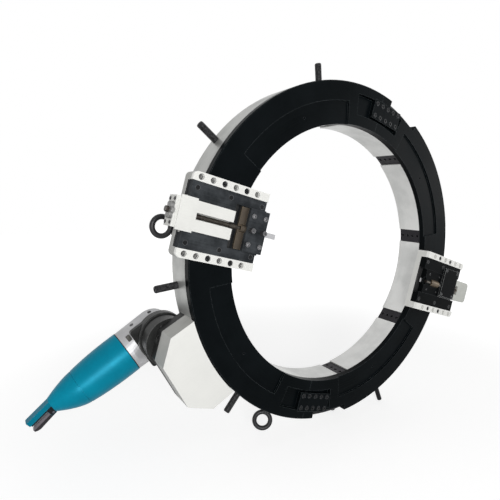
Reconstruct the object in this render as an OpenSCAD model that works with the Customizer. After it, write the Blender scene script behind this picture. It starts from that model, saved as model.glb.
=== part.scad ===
// Orbital pipe cutting machine, split-frame type, clamped on the outside of a pipe.
// The pipe runs along Y, the tool side faces -Y and Z is up.
// The origin lies on the pipe axis, half way along the clamp frame.
// Inside the modules x is right, y is up and z runs towards the tool side.

/* [Rings] */
// Bore radius, which the pipe passes through
bore_r = 386; // [360:1:425]
// Width of both rings, from the bore to the outer rim
band_w = 119; // [114:1:126]
// Depth of the clamp frame along the pipe
frame_depth = 84; // [80:1:100]
// Thickness of the rotating face ring
face_t = 22; // [20:1:28]
// Running gap between the clamp frame and the face ring
ring_gap = 1; // [0.6:0.1:2]
// Angle of the line on which both rings split
split_angle = 73; // [70:1:76]
// Chamfer on the outer rims
rim_chamfer = 2; // [1:0.5:3]

/* [Gear channel] */
// Wall between the bore and the gear channel
inner_wall = 20; // [18:1:24]
// Wall outside the gear channel
outer_wall = 13; // [10:1:15]
// Depth of the gear channel from the frame's front
channel_depth = 38; // [36:1:42]
// Clearance under the ring gear
gear_floor_gap = 8; // [6:1:10]

/* [Gears] */
// Module of the ring gear, idler and pinion
gear_module = 5; // [4.75:0.25:5.25]
// Teeth on the idler
idler_teeth = 21; // [20:1:22]
// Teeth on the drive pinion
pinion_teeth = 13; // [12:1:13]
// Pressure angle of the teeth
pressure_angle = 20; // [18:1:22]
// Play taken off each tooth at the pitch line
tooth_play = 0.4; // [0.2:0.1:0.6]
// Face width of the idler and the pinion
gear_w = 24; // [20:1:26]
// Least distance of the ring gear's pitch circle inside the rim
gear_inset = 31; // [30:0.5:33]

/* [Guide rollers] */
// Number of guide rollers
roller_count = 4; // [4:1:4]
// Angle of the first roller
roller_angle = 27.5; // [25:0.5:30]
// Roller radius over its flanges
roller_r = 14; // [12:1:16]
// Roller width
roller_w = 18; // [16:1:20]
// Depth of the vee ridge that the rollers straddle
vee_depth = 5; // [4:0.5:6]
// Clearance between roller and race
race_clear = 0.3; // [0.2:0.05:0.4]
// Room between the rollers and the channel's inner wall
roller_wall_gap = 6; // [4:1:8]
// Radius of the roller axles
axle_r = 6; // [5:0.5:7]
// Running clearance of turning shafts
run_clear = 0.06; // [0.04:0.01:0.1]
// Clearance of fixed pins and screws in their holes
seat_clear = 0.05; // [0.02:0.01:0.1]

/* [Clamp feet] */
// Number of clamp feet and studs
foot_count = 8; // [8:1:8]
// Angle of the first foot
foot_angle = 5; // [3:0.5:7]
// Width of a foot round the bore
foot_w = 44; // [36:1:50]
// How far a drawn-back foot stays behind the bore
pad_recess = 4; // [2:0.5:5]
// Thickness of the foot's pad
pad_t = 10; // [8:0.5:11]
// Foot travel inwards
foot_travel = 25; // [20:1:26]
// Stem length that stays in the frame at full travel
stem_engage = 11; // [8:1:14]
// Stem width round the bore
stem_w = 30; // [24:1:34]
// Stem height along the pipe
stem_h = 24; // [22:1:26]
// Gap round sliding pieces
slide_clear = 0.3; // [0.2:0.05:0.4]
// Radius of the jacking studs
stud_r = 10; // [8:0.5:11]
// Length of each stud that stands out of the frame
stud_outs = [61, 42, 61, 61, 61, 61, 42, 61]; // [38:1:70]
// Stud height from the middle of the frame, negative is to the back
stud_z = -14; // [-16:1:-12]

/* [Lifting eyes] */
// Angles of the two eyebolts
eye_angles = [168.6, 244.3]; // [150:0.1:250]
// Inside radius of the eye
eye_bore_r = 17.5; // [16:0.5:20]
// Radius of the eye's bar
eye_bar_r = 7; // [6:0.5:8]
// Height of the collar under the eye
eye_collar_h = 16; // [10:1:20]
// Radius of the threaded shank
eye_shank_r = 8; // [7:0.5:9]
// Turn of each eye about its own shank
eye_twists = [0, 32]; // [0:1:45]
// Eyebolt height from the middle of the frame
eye_z = -14; // [-16:1:-12]

/* [Gearbox] */
// Angle of the gearbox's middle line
gearbox_angle = 207.6; // [204:0.1:210]
// Half width of the gearbox
box_half_w = 119.7; // [116:0.1:126]
// How far the gearbox's shoulders lie outside the drive shaft
shoulder_past = 8.5; // [6:0.5:12]
// Length of the gearbox's tapered end
box_end_l = 51.5; // [48:0.5:60]
// Half width of the outer end
box_end_half_w = 66.7; // [60:0.1:72]
// Depth of the gearbox housing
box_depth = 60; // [56:1:62]
// Thickness of the back plate
plate_t = 30; // [24:1:32]
// Side wall of the housing
box_wall = 8; // [6:0.5:9]
// Front wall of the housing
box_front_wall = 7; // [6:0.5:8]
// How far the housing's front stays behind the face ring's front
box_setback = 2; // [1.5:0.5:3]
// Gap between the housing and the turning rim
rim_gap = 2; // [1.5:0.5:3]
// Place of the idler round the ring, from the gearbox's middle line
idler_turn = 1.68; // [1.4:0.02:2]
// Place of the drive shaft round the idler
shaft_turn = -68.8; // [-70:0.1:-67.5]
// Radius of the drive shaft
shaft_r = 12; // [10:0.5:13]
// Radius of the idler's axle
idler_axle_r = 9; // [8:0.5:9.5]

/* [Reducer and motor] */
// Radius of the reducer
reducer_r = 63; // [58:1:64]
// Length of the reducer
reducer_l = 52; // [48:1:56]
// Radius of the collar between reducer and motor
collar_r = 68; // [66:0.5:69]
// Length of the collar
collar_l = 18; // [14:1:20]
// Direction of the motor's body round the pipe axis
motor_angle = 210; // [205:1:215]
// Distance from the gear case's top to the motor axis
motor_drop = 53; // [51:1:58]
// Length of the gear case from the spindle to the motor housing
case_l = 96; // [92:1:100]
// Radius of the motor housing at its front
motor_r = 60; // [57:1:62]
// Length of the motor housing
housing_l = 222; // [205:1:240]
// Radius of the motor housing at its parting seam
seam_r = 50.5; // [48:0.5:53]
// Distance of the parting seam from the gear case
seam_l = 143; // [138:1:148]
// Radius of the neck between housing and handle
neck_r = 21; // [20:0.5:23]
// How far the neck lies off the motor's axis, away from the lever
neck_drop = 9; // [7:0.5:11]
// Length of the rear handle
handle_l = 68.7; // [64:0.1:76]
// Thickness of the rear handle
handle_t = 13; // [11:0.5:14]
// Width of the rear handle
handle_w = 25; // [22:1:28]
// Tilt of the handle against the motor's axis
handle_tilt = 9.7; // [7:0.1:11]
// Radius of the gear case round the spindle
case_r = 55; // [52:1:58]
// Half width of the flange between collar and gear case
flange_half = 64; // [60:1:66]
// Reach of that flange behind the spindle
flange_reach = 66; // [62:1:70]

/* [Tool slides] */
// Angles of the two slides, one on each half
slide_angles = [164.5, 342.5]; // [158:0.5:348]
// How far a slide base reaches into the bore
base_hang = 47; // [44:1:52]
// How far a slide base reaches past the rim
base_over = 45; // [42:1:50]
// Half width of a slide base
base_half_w = 99.5; // [96:0.5:104]
// Height of the rails over the face ring
rail_h = 45; // [44:1:50]
// Width of a rail
rail_w = 21; // [19:0.5:22]
// Thickness of the base plate under the gibs
base_t = 18; // [16:1:20]
// Counterbored holes in each rail
rail_holes = 6; // [6:1:6]
// Pitch of those holes
rail_pitch = 31; // [30:0.5:32]
// Distance of the first hole from the base's inner end
rail_start = 36; // [33:1:39]
// Half width of the slideway between the gibs
way_half_w = 35.5; // [33:0.5:38]
// Undercut of the slideway below each gib
way_lip = 8; // [6:0.5:10]
// Height of the gibs over the base plate
gib_h = 23; // [22:0.5:24]
// Height of the undercut
lip_h = 12; // [10:0.5:13]
// Feed screw radius
feed_r = 6; // [5:0.5:7]
// Feed screw height over the face ring
feed_z = 33; // [32:0.5:34]
// Tool travel inwards from the place shown
tool_travel = 20; // [16:1:22]
// Length of the first slide's tool bay
bay_l = 85; // [83:1:90]
// How far the first slide's screw housing reaches past its base
housing_over = 16; // [14:1:20]
// How far the second slide's housing reaches past its base
housing_b_over = 64; // [60:1:68]
// Star wheel radius
star_r = 20; // [18:0.5:22]
// Star wheel thickness
star_t = 8; // [6:0.5:10]
// Star wheel lobes
star_lobes = 6; // [5:1:8]

/* [Joint plates] */
// Length of a joint plate
joint_l = 119; // [112:1:124]
// Width of a joint plate
joint_w = 56; // [52:1:60]
// Part of a joint plate that reaches over the split
joint_over = 28; // [26:1:32]
// Distance of a joint plate from the rim
joint_rim = 24; // [22:1:27]
// Depth of the joint pockets
joint_depth = 14; // [12:1:15]
// Pitch of the joint screws along the plate
joint_pitch = 24; // [22:0.5:25]
// Spacing of the two rows of joint screws
joint_rows = 36; // [32:1:38]
// Half angle of the joint pockets
joint_half_angle = 12; // [11.5:0.5:13]

/* [Hidden] */
$fn = 96;
eps = 0.05;
far = 400;

// Outer radius of the clamp frame and of the face ring
ring_r = bore_r + band_w;

// Levels along z, towards the tool side
frame_front = frame_depth / 2;
frame_back = -frame_front;
channel_floor = frame_front - channel_depth;
face_back = frame_front + ring_gap;
face_front = face_back + face_t;
gear_back = channel_floor + gear_floor_gap;
box_front = face_front - box_setback;
box_back = box_front - box_depth;
plate_back = box_back - plate_t;
reducer_back = plate_back - reducer_l;
collar_back = reducer_back - collar_l;
motor_z = collar_back - motor_drop;

// Ring gear, race and roller places
channel_in = bore_r + inner_wall;
channel_out = ring_r - outer_wall;
roller_pos = channel_in + roller_wall_gap + roller_r;
race_r = roller_pos + roller_r + race_clear;
tooth_add = 0.8 * gear_module;
tooth_ded = gear_module;
ring_teeth = 2 * floor((ring_r - gear_inset) / gear_module);
ring_pitch_r = gear_module * ring_teeth / 2;
idler_pitch_r = gear_module * idler_teeth / 2;
pinion_pitch_r = gear_module * pinion_teeth / 2;
gear_lift = 4;
gear_low = gear_back + gear_lift;
roller_mid = (gear_back + face_back) / 2;

// The idler lies one centre distance from the ring axis, and the shaft one from the idler
idler_pos = (ring_pitch_r + idler_pitch_r) * [cos(idler_turn), sin(idler_turn)];
shaft_pos = idler_pos + (idler_pitch_r + pinion_pitch_r) * [cos(shaft_turn), sin(shaft_turn)];
idler_dir = gearbox_angle + atan2(idler_pos[1], idler_pos[0]);
pinion_dir = gearbox_angle + atan2(shaft_pos[1] - idler_pos[1], shaft_pos[0] - idler_pos[0]);

// Tooth phases that put the three gears in mesh, with a tooth space on each split
ring_phase = split_angle + 180 / ring_teeth;
idler_phase = mesh_phase(idler_dir, ring_phase, ring_teeth, idler_teeth);
pinion_phase = mesh_phase(pinion_dir, idler_phase, idler_teeth, pinion_teeth);

// Clamp foot and stud places along the radius
pad_in = bore_r + pad_recess;
pad_out = pad_in + pad_t;
stem_l = foot_travel + stem_engage;
stem_out = pad_out + stem_l;
stud_nose_r = 0.7 * stud_r;
stud_nose_l = 9;

// Slide places along the radius, and levels over the face ring
base_in = bore_r - base_hang;
base_out = ring_r + base_over;
rail_first = base_in + rail_start;
housing_in = base_in + bay_l;
base_top = face_front + base_t;
rail_top = face_front + rail_h;
lip_top = base_top + lip_h;
gib_top = base_top + gib_h;
feed_level = face_front + feed_z;
rail_mid = base_half_w - rail_w / 2;
gib_out = base_half_w - rail_w - slide_clear;
way_low = way_half_w + way_lip;

// Cap screw proportions
function head_r(r) = 1.6 * r;
function head_h(r) = 1.9 * r;
screw_r = 4;
cbore_r = 7.5;
cbore_h = 10;

// Colours
steel_black = [0.12, 0.13, 0.14];
cast_silver = [0.78, 0.79, 0.79];
plate_white = [0.93, 0.93, 0.91];
oiled_steel = [0.28, 0.29, 0.30];
bright_steel = [0.62, 0.63, 0.64];
bronze = [0.55, 0.42, 0.28];
motor_teal = [0.05, 0.55, 0.66];

// Phase of a gear that meshes in direction dir with a gear of known phase
function mesh_phase(dir, phase, teeth, mate_teeth) =
    dir + 180 + ((dir - phase) * teeth / 360 - 0.5) * 360 / mate_teeth;

// Involute function in degrees
function inv(a) = tan(a) * 180 / PI - a;

// Half angle of a tooth at radius r
function tooth_half(r, pitch_r, teeth) =
    let (base_r = pitch_r * cos(pressure_angle), rr = max(r, base_r))
    90 / teeth - tooth_play / 2 / pitch_r * 180 / PI + inv(pressure_angle) - inv(acos(base_r / rr));

// Outline of one gear, tooth by tooth
function gear_points(teeth, phase) =
    let (pitch_r = gear_module * teeth / 2,
         flank = [pitch_r - tooth_ded, max(pitch_r * cos(pressure_angle), pitch_r - 0.6 * tooth_ded),
                  pitch_r, pitch_r + tooth_add])
    [for (k = [0:teeth - 1])
        let (mid = phase + k * 360 / teeth)
        for (side = [-1, 1], j = [0:3])
            let (r = side < 0 ? flank[j] : flank[3 - j], a = mid + side * tooth_half(r, pitch_r, teeth))
            [r * cos(a), r * sin(a)]];

// Stands a piece up, so that z of the modules points to the tool side
module facing() {
    rotate([90, 0, 0]) children();
}

// Half of a ring, turned from a profile of radius and height
module half_turn(start) {
    rotate([0, 0, start]) rotate_extrude(angle = 180) children();
}

// Stretch of a flat ring between two angles and two levels
module sector(r1, r2, a1, a2, z1, z2) {
    rotate([0, 0, a1])
        rotate_extrude(angle = a2 - a1)
            translate([r1, z1]) square([r2 - r1, z2 - z1]);
}

// Round bar along the radius, from radius r1 to r2
module radial_bar(r1, r2, r, z) {
    translate([r1, 0, z]) rotate([0, 90, 0]) cylinder(r = r, h = r2 - r1);
}

// Block from corner to corner
module box(p, q) {
    translate(p) cube(q - p);
}

// Socket head screw, with its head's seat at z = 0
module cap_screw(r, length) {
    difference() {
        union() {
            translate([0, 0, -length]) cylinder(r = r, h = length + eps);
            cylinder(r = head_r(r), h = head_h(r));
        }
        translate([0, 0, head_h(r) - r]) cylinder(r = 0.85 * r, h = 2 * r, $fn = 6);
    }
}

// Everything at a foot's angle
module at_foot(k) {
    rotate([0, 0, foot_angle + (k - 1) * 360 / foot_count]) children();
}

// Clamp frame

module frame_profile() {
    polygon([[bore_r, frame_back], [ring_r - rim_chamfer, frame_back], [ring_r, frame_back + rim_chamfer],
             [ring_r, frame_front], [channel_out, frame_front], [channel_out, channel_floor],
             [channel_in, channel_floor], [channel_in, frame_front], [bore_r, frame_front]]);
}

// Joining screws of the frame, one inner and one outer at each split
frame_screw_r = 6;
frame_screw_z = -20;
frame_screw_at = [bore_r + 40, ring_r - 32];
frame_screw_l = 66;
pocket_l = 62;
pocket_start = 34;

module frame_half(start) {
    color(cast_silver) facing() difference() {
        half_turn(start) frame_profile();
        for (k = [1:foot_count]) at_foot(k) foot_pocket();
        for (k = [1:roller_count]) at_roller(k)
            translate([0, 0, channel_floor - axle_seat]) cylinder(r = axle_r + seat_clear, h = axle_seat + eps);
        for (a = eye_angles) rotate([0, 0, a])
            radial_bar(ring_r - eye_shank_l, ring_r + eps, eye_shank_r + seat_clear, eye_z);
        rotate([0, 0, trip_angle]) radial_bar(channel_out - eps, ring_r + eps, trip_r + seat_clear, trip_z);
        rotate([0, 0, gearbox_angle]) translate([idler_pos[0], idler_pos[1], gear_back])
            cylinder(r = idler_pitch_r + tooth_add + 4, h = far);
        for (a = [split_angle, split_angle + 180]) rotate([0, 0, a]) frame_joint_cuts();
        for (t = saddle_screw_at) rotate([0, 0, gearbox_angle]) translate([0, t, 0])
            radial_bar(saddle_screw_in, ring_r + far, saddle_screw_r + seat_clear, saddle_screw_z);
    }
}

module foot_pocket() {
    box([bore_r - 20, -foot_w / 2 - slide_clear, frame_back - 1],
        [pad_out + slide_clear, foot_w / 2 + slide_clear, frame_front + 1]);
    box([pad_out - eps, -stem_w / 2 - slide_clear, stud_z - stem_h / 2 - slide_clear],
        [stem_out + slide_clear, stem_w / 2 + slide_clear, stud_z + stem_h / 2 + slide_clear]);
    radial_bar(stem_out, ring_r + 20, stud_r + slide_clear, stud_z);
}

module frame_joint_cuts() {
    for (x = frame_screw_at) {
        translate([x, -pocket_start, frame_screw_z]) rotate([-90, 0, 0])
            cylinder(r = frame_screw_r + seat_clear, h = frame_screw_l);
        box([x - 12, -pocket_start - pocket_l, frame_back - 1],
            [x + 12, -pocket_start, frame_screw_z + 12]);
    }
}

module frame_left() {
    frame_half(split_angle);
}

module frame_right() {
    frame_half(split_angle + 180);
}

// Guide rollers

axle_seat = 16;
axle_head_r = 9;

module at_roller(k) {
    rotate([0, 0, roller_angle + (k - 1) * 360 / roller_count]) translate([roller_pos, 0, 0]) children();
}

module roller_axles() {
    color(oiled_steel) facing()
        for (k = [1:roller_count]) at_roller(k) {
            low = roller_mid - roller_w / 2;
            translate([0, 0, channel_floor - axle_seat])
                cylinder(r = axle_r, h = low + roller_w + slide_clear - channel_floor + axle_seat);
            translate([0, 0, channel_floor]) cylinder(r = axle_head_r, h = low - slide_clear - channel_floor);
            translate([0, 0, low + roller_w + slide_clear]) cylinder(r = axle_head_r, h = 2);
        }
}

module guide_roller(k) {
    half = roller_w / 2;
    color(bright_steel) facing() at_roller(k) translate([0, 0, roller_mid])
        rotate_extrude()
            polygon([[axle_r + run_clear, -half], [roller_r - 1, -half], [roller_r, -half + 1],
                     [roller_r, -vee_depth], [roller_r - vee_depth, 0], [roller_r, vee_depth],
                     [roller_r, half - 1], [roller_r - 1, half], [axle_r + run_clear, half]]);
}

// Clamp feet and jacking studs

foot_end_gap = 1;
foot_half_l = frame_front - foot_end_gap;
foot_hole_r = 5;
foot_hole_pitch = 20;

module clamp_foot(k) {
    color(oiled_steel) facing() at_foot(k) difference() {
        union() {
            box([bore_r - 20, -foot_w / 2, -foot_half_l], [pad_out, foot_w / 2, foot_half_l]);
            box([pad_out - 1, -stem_w / 2, stud_z - stem_h / 2], [stem_out, stem_w / 2, stud_z + stem_h / 2]);
        }
        translate([0, 0, -far]) cylinder(r = pad_in, h = 2 * far);
        radial_bar(stem_out - stud_nose_l - 1, stem_out + 1, stud_nose_r + run_clear, stud_z);
        for (j = [-1:2]) radial_bar(bore_r - 10, pad_in + 6, foot_hole_r, (j - 0.5) * foot_hole_pitch);
    }
}

module jack_stud(k) {
    shoulder = stem_out + slide_clear;
    tip = ring_r + stud_outs[k - 1];
    color(steel_black) facing() at_foot(k) difference() {
        union() {
            radial_bar(stem_out - stud_nose_l, shoulder + 1, stud_nose_r, stud_z);
            translate([shoulder, 0, stud_z]) rotate([0, 90, 0]) rotate_extrude()
                polygon([[0, 0], [stud_r - 1, 0], [stud_r, 1], [stud_r, tip - shoulder - 1.5],
                         [stud_r - 1.5, tip - shoulder], [0, tip - shoulder]]);
        }
        translate([tip - stud_r, 0, stud_z]) rotate([0, 90, 0])
            cylinder(r = 0.55 * stud_r, h = 2 * stud_r, $fn = 6);
    }
}

// Lifting eyebolts and feed trip pin

eye_shank_l = 30;
eye_pos = ring_r + eye_collar_h + eye_bore_r + 1.8 * eye_bar_r;
eye_land = 0.5;

module eyebolts() {
    color(oiled_steel) facing()
        for (i = [0, 1]) rotate([0, 0, eye_angles[i]]) {
            translate([eye_pos, 0, eye_z]) rotate([eye_twists[i], 0, 0]) rotate_extrude() intersection() {
                translate([eye_bore_r + eye_bar_r - eye_land, 0]) circle(r = eye_bar_r);
                translate([eye_bore_r, -eye_bar_r]) square([2 * eye_bar_r, 2 * eye_bar_r]);
            }
            radial_bar(ring_r, ring_r + eye_collar_h, eye_bore_r, eye_z);
            radial_bar(ring_r, eye_pos - eye_bore_r - 0.6 * eye_bar_r, eye_bar_r + 2, eye_z);
            radial_bar(ring_r - eye_shank_l + 1, ring_r + 1, eye_shank_r, eye_z);
        }
}

trip_angle = 293.5;
trip_z = 26;
trip_r = 8;
trip_out = 84;

module trip_pin() {
    color(steel_black) facing() rotate([0, 0, trip_angle]) {
        radial_bar(channel_out, ring_r + trip_out, trip_r, trip_z);
        radial_bar(ring_r, ring_r + 12, trip_r + 5, trip_z);
    }
}

// Gearbox

box_shoulder_r = shaft_pos[0] + shoulder_past;
box_end_r = box_shoulder_r + box_end_l;

module box_outline(inset) {
    polygon([[ring_r - 60, -box_half_w + inset], [box_shoulder_r, -box_half_w + inset],
             [box_end_r - inset, -box_end_half_w + 0.4 * inset],
             [box_end_r - inset, box_end_half_w - 0.4 * inset],
             [box_shoulder_r, box_half_w - inset], [ring_r - 60, box_half_w - inset]]);
}

saddle_gap = 0.15;
box_lip = 6;
axle_end = 4;

module gearbox_housing() {
    color(plate_white) facing() difference() {
        rotate([0, 0, gearbox_angle]) difference() {
            translate([0, 0, box_back]) linear_extrude(box_depth) box_outline(0);
            translate([0, 0, box_back - 1]) linear_extrude(frame_front - box_back + 1) box_outline(box_wall);
            difference() {
                translate([0, 0, frame_front - eps])
                    linear_extrude(box_front - box_front_wall - frame_front + eps) box_outline(box_wall);
                cylinder(r = ring_r + rim_gap + box_lip, h = far);
            }
            translate([idler_pos[0], idler_pos[1], box_front - box_front_wall - eps])
                cylinder(r = idler_axle_r + seat_clear, h = axle_end + eps);
            translate([shaft_pos[0], shaft_pos[1], box_front - box_front_wall - eps])
                cylinder(r = shaft_r + run_clear, h = axle_end + eps);
            for (p = plate_screw_at) translate([p[0], p[1], box_back - 1])
                cylinder(r = plate_screw_r + seat_clear, h = plate_screw_in + 1);
        }
        translate([0, 0, -far]) cylinder(r = ring_r + saddle_gap, h = 2 * far);
        translate([0, 0, frame_front - ring_gap]) cylinder(r = ring_r + rim_gap, h = far);
    }
}

// Screws that hold the back plate to the housing, and the gearbox to the frame
plate_screw_r = 2.5;
plate_screw_in = 16;
plate_screw_sink = head_h(plate_screw_r) + 0.5;
plate_screw_end_t = 40;
plate_screw_at = [for (side = [-1, 1]) each
    [[box_shoulder_r - 8, side * (box_half_w - box_wall / 2)],
     [box_end_r - box_wall / 2, side * plate_screw_end_t]]];
saddle_screw_r = 5;
saddle_screw_z = box_back - plate_t / 2;
saddle_screw_in = ring_r - 35;
saddle_screw_at = [-100, 100];
saddle_seat = box_shoulder_r - 14;

module gearbox_back_plate() {
    color(steel_black) facing() difference() {
        rotate([0, 0, gearbox_angle]) difference() {
            translate([0, 0, plate_back]) linear_extrude(plate_t) box_outline(0);
            translate([idler_pos[0], idler_pos[1], box_back - idler_seat])
                cylinder(r = idler_axle_r + seat_clear, h = far);
            translate([shaft_pos[0], shaft_pos[1], -far]) cylinder(r = shaft_r + run_clear, h = 2 * far);
            for (p = plate_screw_at) translate([p[0], p[1], plate_back - 1]) {
                cylinder(r = plate_screw_r + seat_clear, h = far);
                cylinder(r = head_r(plate_screw_r) + 0.5, h = plate_screw_sink + 1);
            }
            for (t = saddle_screw_at) translate([0, t, 0]) {
                radial_bar(ring_r - far, ring_r + far, saddle_screw_r + seat_clear, saddle_screw_z);
                radial_bar(saddle_seat, ring_r + far, head_r(saddle_screw_r) + 0.5, saddle_screw_z);
            }
        }
        translate([0, 0, -far]) cylinder(r = ring_r + saddle_gap, h = 2 * far);
    }
}

idler_seat = 22;

module idler_axle() {
    low = box_back - idler_seat;
    color(bright_steel) facing() rotate([0, 0, gearbox_angle]) translate([idler_pos[0], idler_pos[1], 0]) {
        translate([0, 0, low]) cylinder(r = idler_axle_r, h = box_front - box_front_wall + axle_end - 1 - low);
        translate([0, 0, box_back]) cylinder(r = idler_axle_r + 4, h = gear_low - slide_clear - box_back);
    }
}

module idler_gear() {
    color(bright_steel) facing() difference() {
        translate([0, 0, gear_low]) linear_extrude(gear_w)
            rotate([0, 0, gearbox_angle]) translate(idler_pos) rotate([0, 0, -gearbox_angle])
                polygon(gear_points(idler_teeth, idler_phase));
        rotate([0, 0, gearbox_angle]) translate([idler_pos[0], idler_pos[1], 0])
            cylinder(r = idler_axle_r + run_clear, h = far);
    }
}

shaft_in = 30;

module drive_pinion() {
    color(bright_steel) facing() {
        translate([0, 0, gear_low]) linear_extrude(gear_w)
            rotate([0, 0, gearbox_angle]) translate(shaft_pos) rotate([0, 0, -gearbox_angle])
                polygon(gear_points(pinion_teeth, pinion_phase));
        rotate([0, 0, gearbox_angle]) translate([shaft_pos[0], shaft_pos[1], plate_back - shaft_in])
            cylinder(r = shaft_r, h = box_front - box_front_wall + axle_end - 1 - plate_back + shaft_in);
    }
}

// Reducer and motor

module at_shaft() {
    rotate([0, 0, gearbox_angle]) translate([shaft_pos[0], shaft_pos[1], 0]) children();
}

set_screw_r = 4;
set_screw_at = [150, 180];

module reducer_housing() {
    color(steel_black) facing() difference() {
        at_shaft() translate([0, 0, reducer_back]) difference() {
            rotate_extrude()
                polygon([[0, 0], [reducer_r - 4, 0], [reducer_r - 4, 5], [reducer_r, 8],
                         [reducer_r, reducer_l - 6], [reducer_r + 3, reducer_l - 4], [reducer_r + 3, reducer_l],
                         [0, reducer_l]]);
            translate([0, 0, reducer_l - shaft_in - 2]) cylinder(r = shaft_r + run_clear, h = far);
            for (a = set_screw_at) rotate([0, 0, a])
                radial_bar(reducer_r - 10, reducer_r + 10, set_screw_r + seat_clear, reducer_l / 2);
        }
        translate([0, 0, frame_back - ring_gap]) cylinder(r = ring_r + ring_gap, h = far);
    }
}

neck_bore_r = 22;
flange_t = 9;
flange_corner_r = 8;
flange_gap = 0.5;

// Plan of the flange, round in front and square behind
module flange_plan(gap) {
    circle(r = collar_r + gap);
    round_ended(0, flange_reach + gap, flange_half + gap, flange_corner_r);
}

// Collar under the reducer, with the flange that the gear case hangs from
module reducer_collar() {
    color(steel_black) facing() difference() {
        union() {
            at_shaft() translate([0, 0, collar_back]) rotate_extrude()
                polygon([[0, 0], [collar_r - 2, 0], [collar_r, 2], [collar_r, collar_l - 2],
                         [collar_r - 2, collar_l], [0, collar_l]]);
            along_motor() translate([0, 0, motor_drop - flange_t]) linear_extrude(flange_t + 1)
                flange_plan(0);
        }
        at_shaft() translate([0, 0, collar_back - 2 * flange_t]) cylinder(r = neck_bore_r, h = far);
    }
}

// Everything along the motor's own axis, x backwards from the spindle and y to the lever's side
module along_motor() {
    at_shaft() rotate([0, 0, motor_angle - gearbox_angle]) translate([0, 0, motor_z]) children();
}

case_joint_t = 12;
case_foot_r = 40;
case_round = 10;

module motor_gear_case() {
    low = case_round + 4 - motor_drop;
    top = motor_drop - flange_t - 1;
    color(cast_silver) facing() along_motor() {
        difference() {
            hull() {
                translate([0, 0, low]) cylinder(r = case_foot_r, h = 4, $fn = 48);
                translate([0, 0, low + case_round])
                    cylinder(r = case_r, h = top - low - 2 * case_round, $fn = 48);
                translate([0, 0, top - 1]) cylinder(r = case_r - case_round, h = 1, $fn = 48);
                translate([case_l - case_joint_t, 0, 0]) rotate([0, 90, 0])
                    cylinder(r = motor_r - 1, h = case_joint_t, $fn = 48);
            }
            translate([0, 0, top + flange_gap]) linear_extrude(far) flange_plan(flange_gap);
        }
        translate([0, 0, top - eps]) cylinder(r = case_foot_r, h = 1 + eps);
        translate([0, 0, top]) cylinder(r = neck_bore_r - seat_clear, h = flange_t + collar_l);
    }
}

// The motor housing tapers to its parting seam, then narrows to the neck and bends off the axis
barrel_steps = 8;
barrel_bow = 2.4;
rear_bow = 1.5;
rear_step = 0.5;
rear_rings = 10;
rear_sides = 48;
function barrel_radius(t) = motor_r + (seam_r - motor_r) * t ^ barrel_bow;
function rear_ring(t) =
    let (close = t ^ rear_bow, r = (seam_r - rear_step) * (1 - close) + neck_r * close)
    [for (i = [0:rear_sides - 1])
        let (a = 360 * i / rear_sides)
        [seam_l + (housing_l - seam_l) * t, r * cos(a) - neck_drop * close, r * sin(a)]];

module motor_housing() {
    last = rear_rings * rear_sides;
    color(motor_teal) facing() along_motor() translate([case_l, 0, 0]) {
        rotate([0, 90, 0]) rotate_extrude()
            polygon(concat([[0, 0]],
                           [for (k = [0:barrel_steps])
                               let (t = k / barrel_steps) [barrel_radius(t), seam_l * t]],
                           [[0, seam_l]]));
        polyhedron([for (j = [0:rear_rings]) each rear_ring(j / rear_rings)],
            concat([[for (i = [0:rear_sides - 1]) i]],
                   [for (j = [0:rear_rings - 1], i = [0:rear_sides - 1])
                       let (n = (i + 1) % rear_sides, low = j * rear_sides, up = low + rear_sides)
                       [low + n, low + i, up + i, up + n]],
                   [[for (i = [0:rear_sides - 1]) last + rear_sides - 1 - i]]));
    }
}

// Handle behind the neck, with a steel rail under its grip and two cheeks that carry the lever
handle_top = -8.1;
handle_off = [case_l + housing_l, -2 * neck_drop];
handle_low = handle_top + handle_t;
handle_round = 3;
rail_t = 5.2;
grip_rail_w = 18;
cheek_t = 4.5;
cheek_from = 2;
cheek_to = 18;
cheek_low = 28;
lever_w = 14;
lever_gap = 0.5;
lever_lift = 6;
lever_t = 16;
lever_pin_r = 2.5;
lever_pivot = [10, 22];
cheek_out = lever_w / 2 + lever_gap + cheek_t;

// Everything along the handle, x backwards and y towards the lever
module along_handle() {
    along_motor() translate([handle_off[0], handle_off[1], 0]) rotate([0, 0, handle_tilt]) children();
}

module motor_handle() {
    color(motor_teal) facing() intersection() {
        along_handle() difference() {
            union() {
                translate([0, handle_low, 0]) rotate([90, 0, 0]) linear_extrude(handle_t)
                    round_ended(-handle_t, handle_l, handle_w / 2, handle_round);
                box([-handle_t, handle_low - 1, -grip_rail_w / 2],
                    [handle_l - handle_round, handle_low + rail_t, grip_rail_w / 2]);
                for (side = [-1, 1]) mirror([0, 0, side < 0 ? 1 : 0])
                    box([cheek_from, handle_low - 1, cheek_out - cheek_t], [cheek_to, cheek_low, cheek_out]);
            }
            translate([lever_pivot[0], lever_pivot[1], -far])
                cylinder(r = lever_pin_r + run_clear, h = 2 * far);
        }
        along_motor() box([handle_off[0], -far, -far], [handle_off[0] + far, far, far]);
    }
}

module switch_lever() {
    top = handle_low + rail_t + lever_lift;
    color(oiled_steel) facing() along_handle() {
        translate([lever_pivot[0], lever_pivot[1], -cheek_out]) cylinder(r = lever_pin_r, h = 2 * cheek_out);
        translate([0, 0, -lever_w / 2]) linear_extrude(lever_w)
            polygon([[5, top], [handle_l - 4, top], [handle_l + 3, top + 4], [handle_l + 3, top + 10],
                     [handle_l - 3, top + lever_t - 2], [handle_l - 10, top + lever_t], [12, top + lever_t - 2],
                     [7.5, top + 10]]);
    }
}

// Rotating face ring

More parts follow.
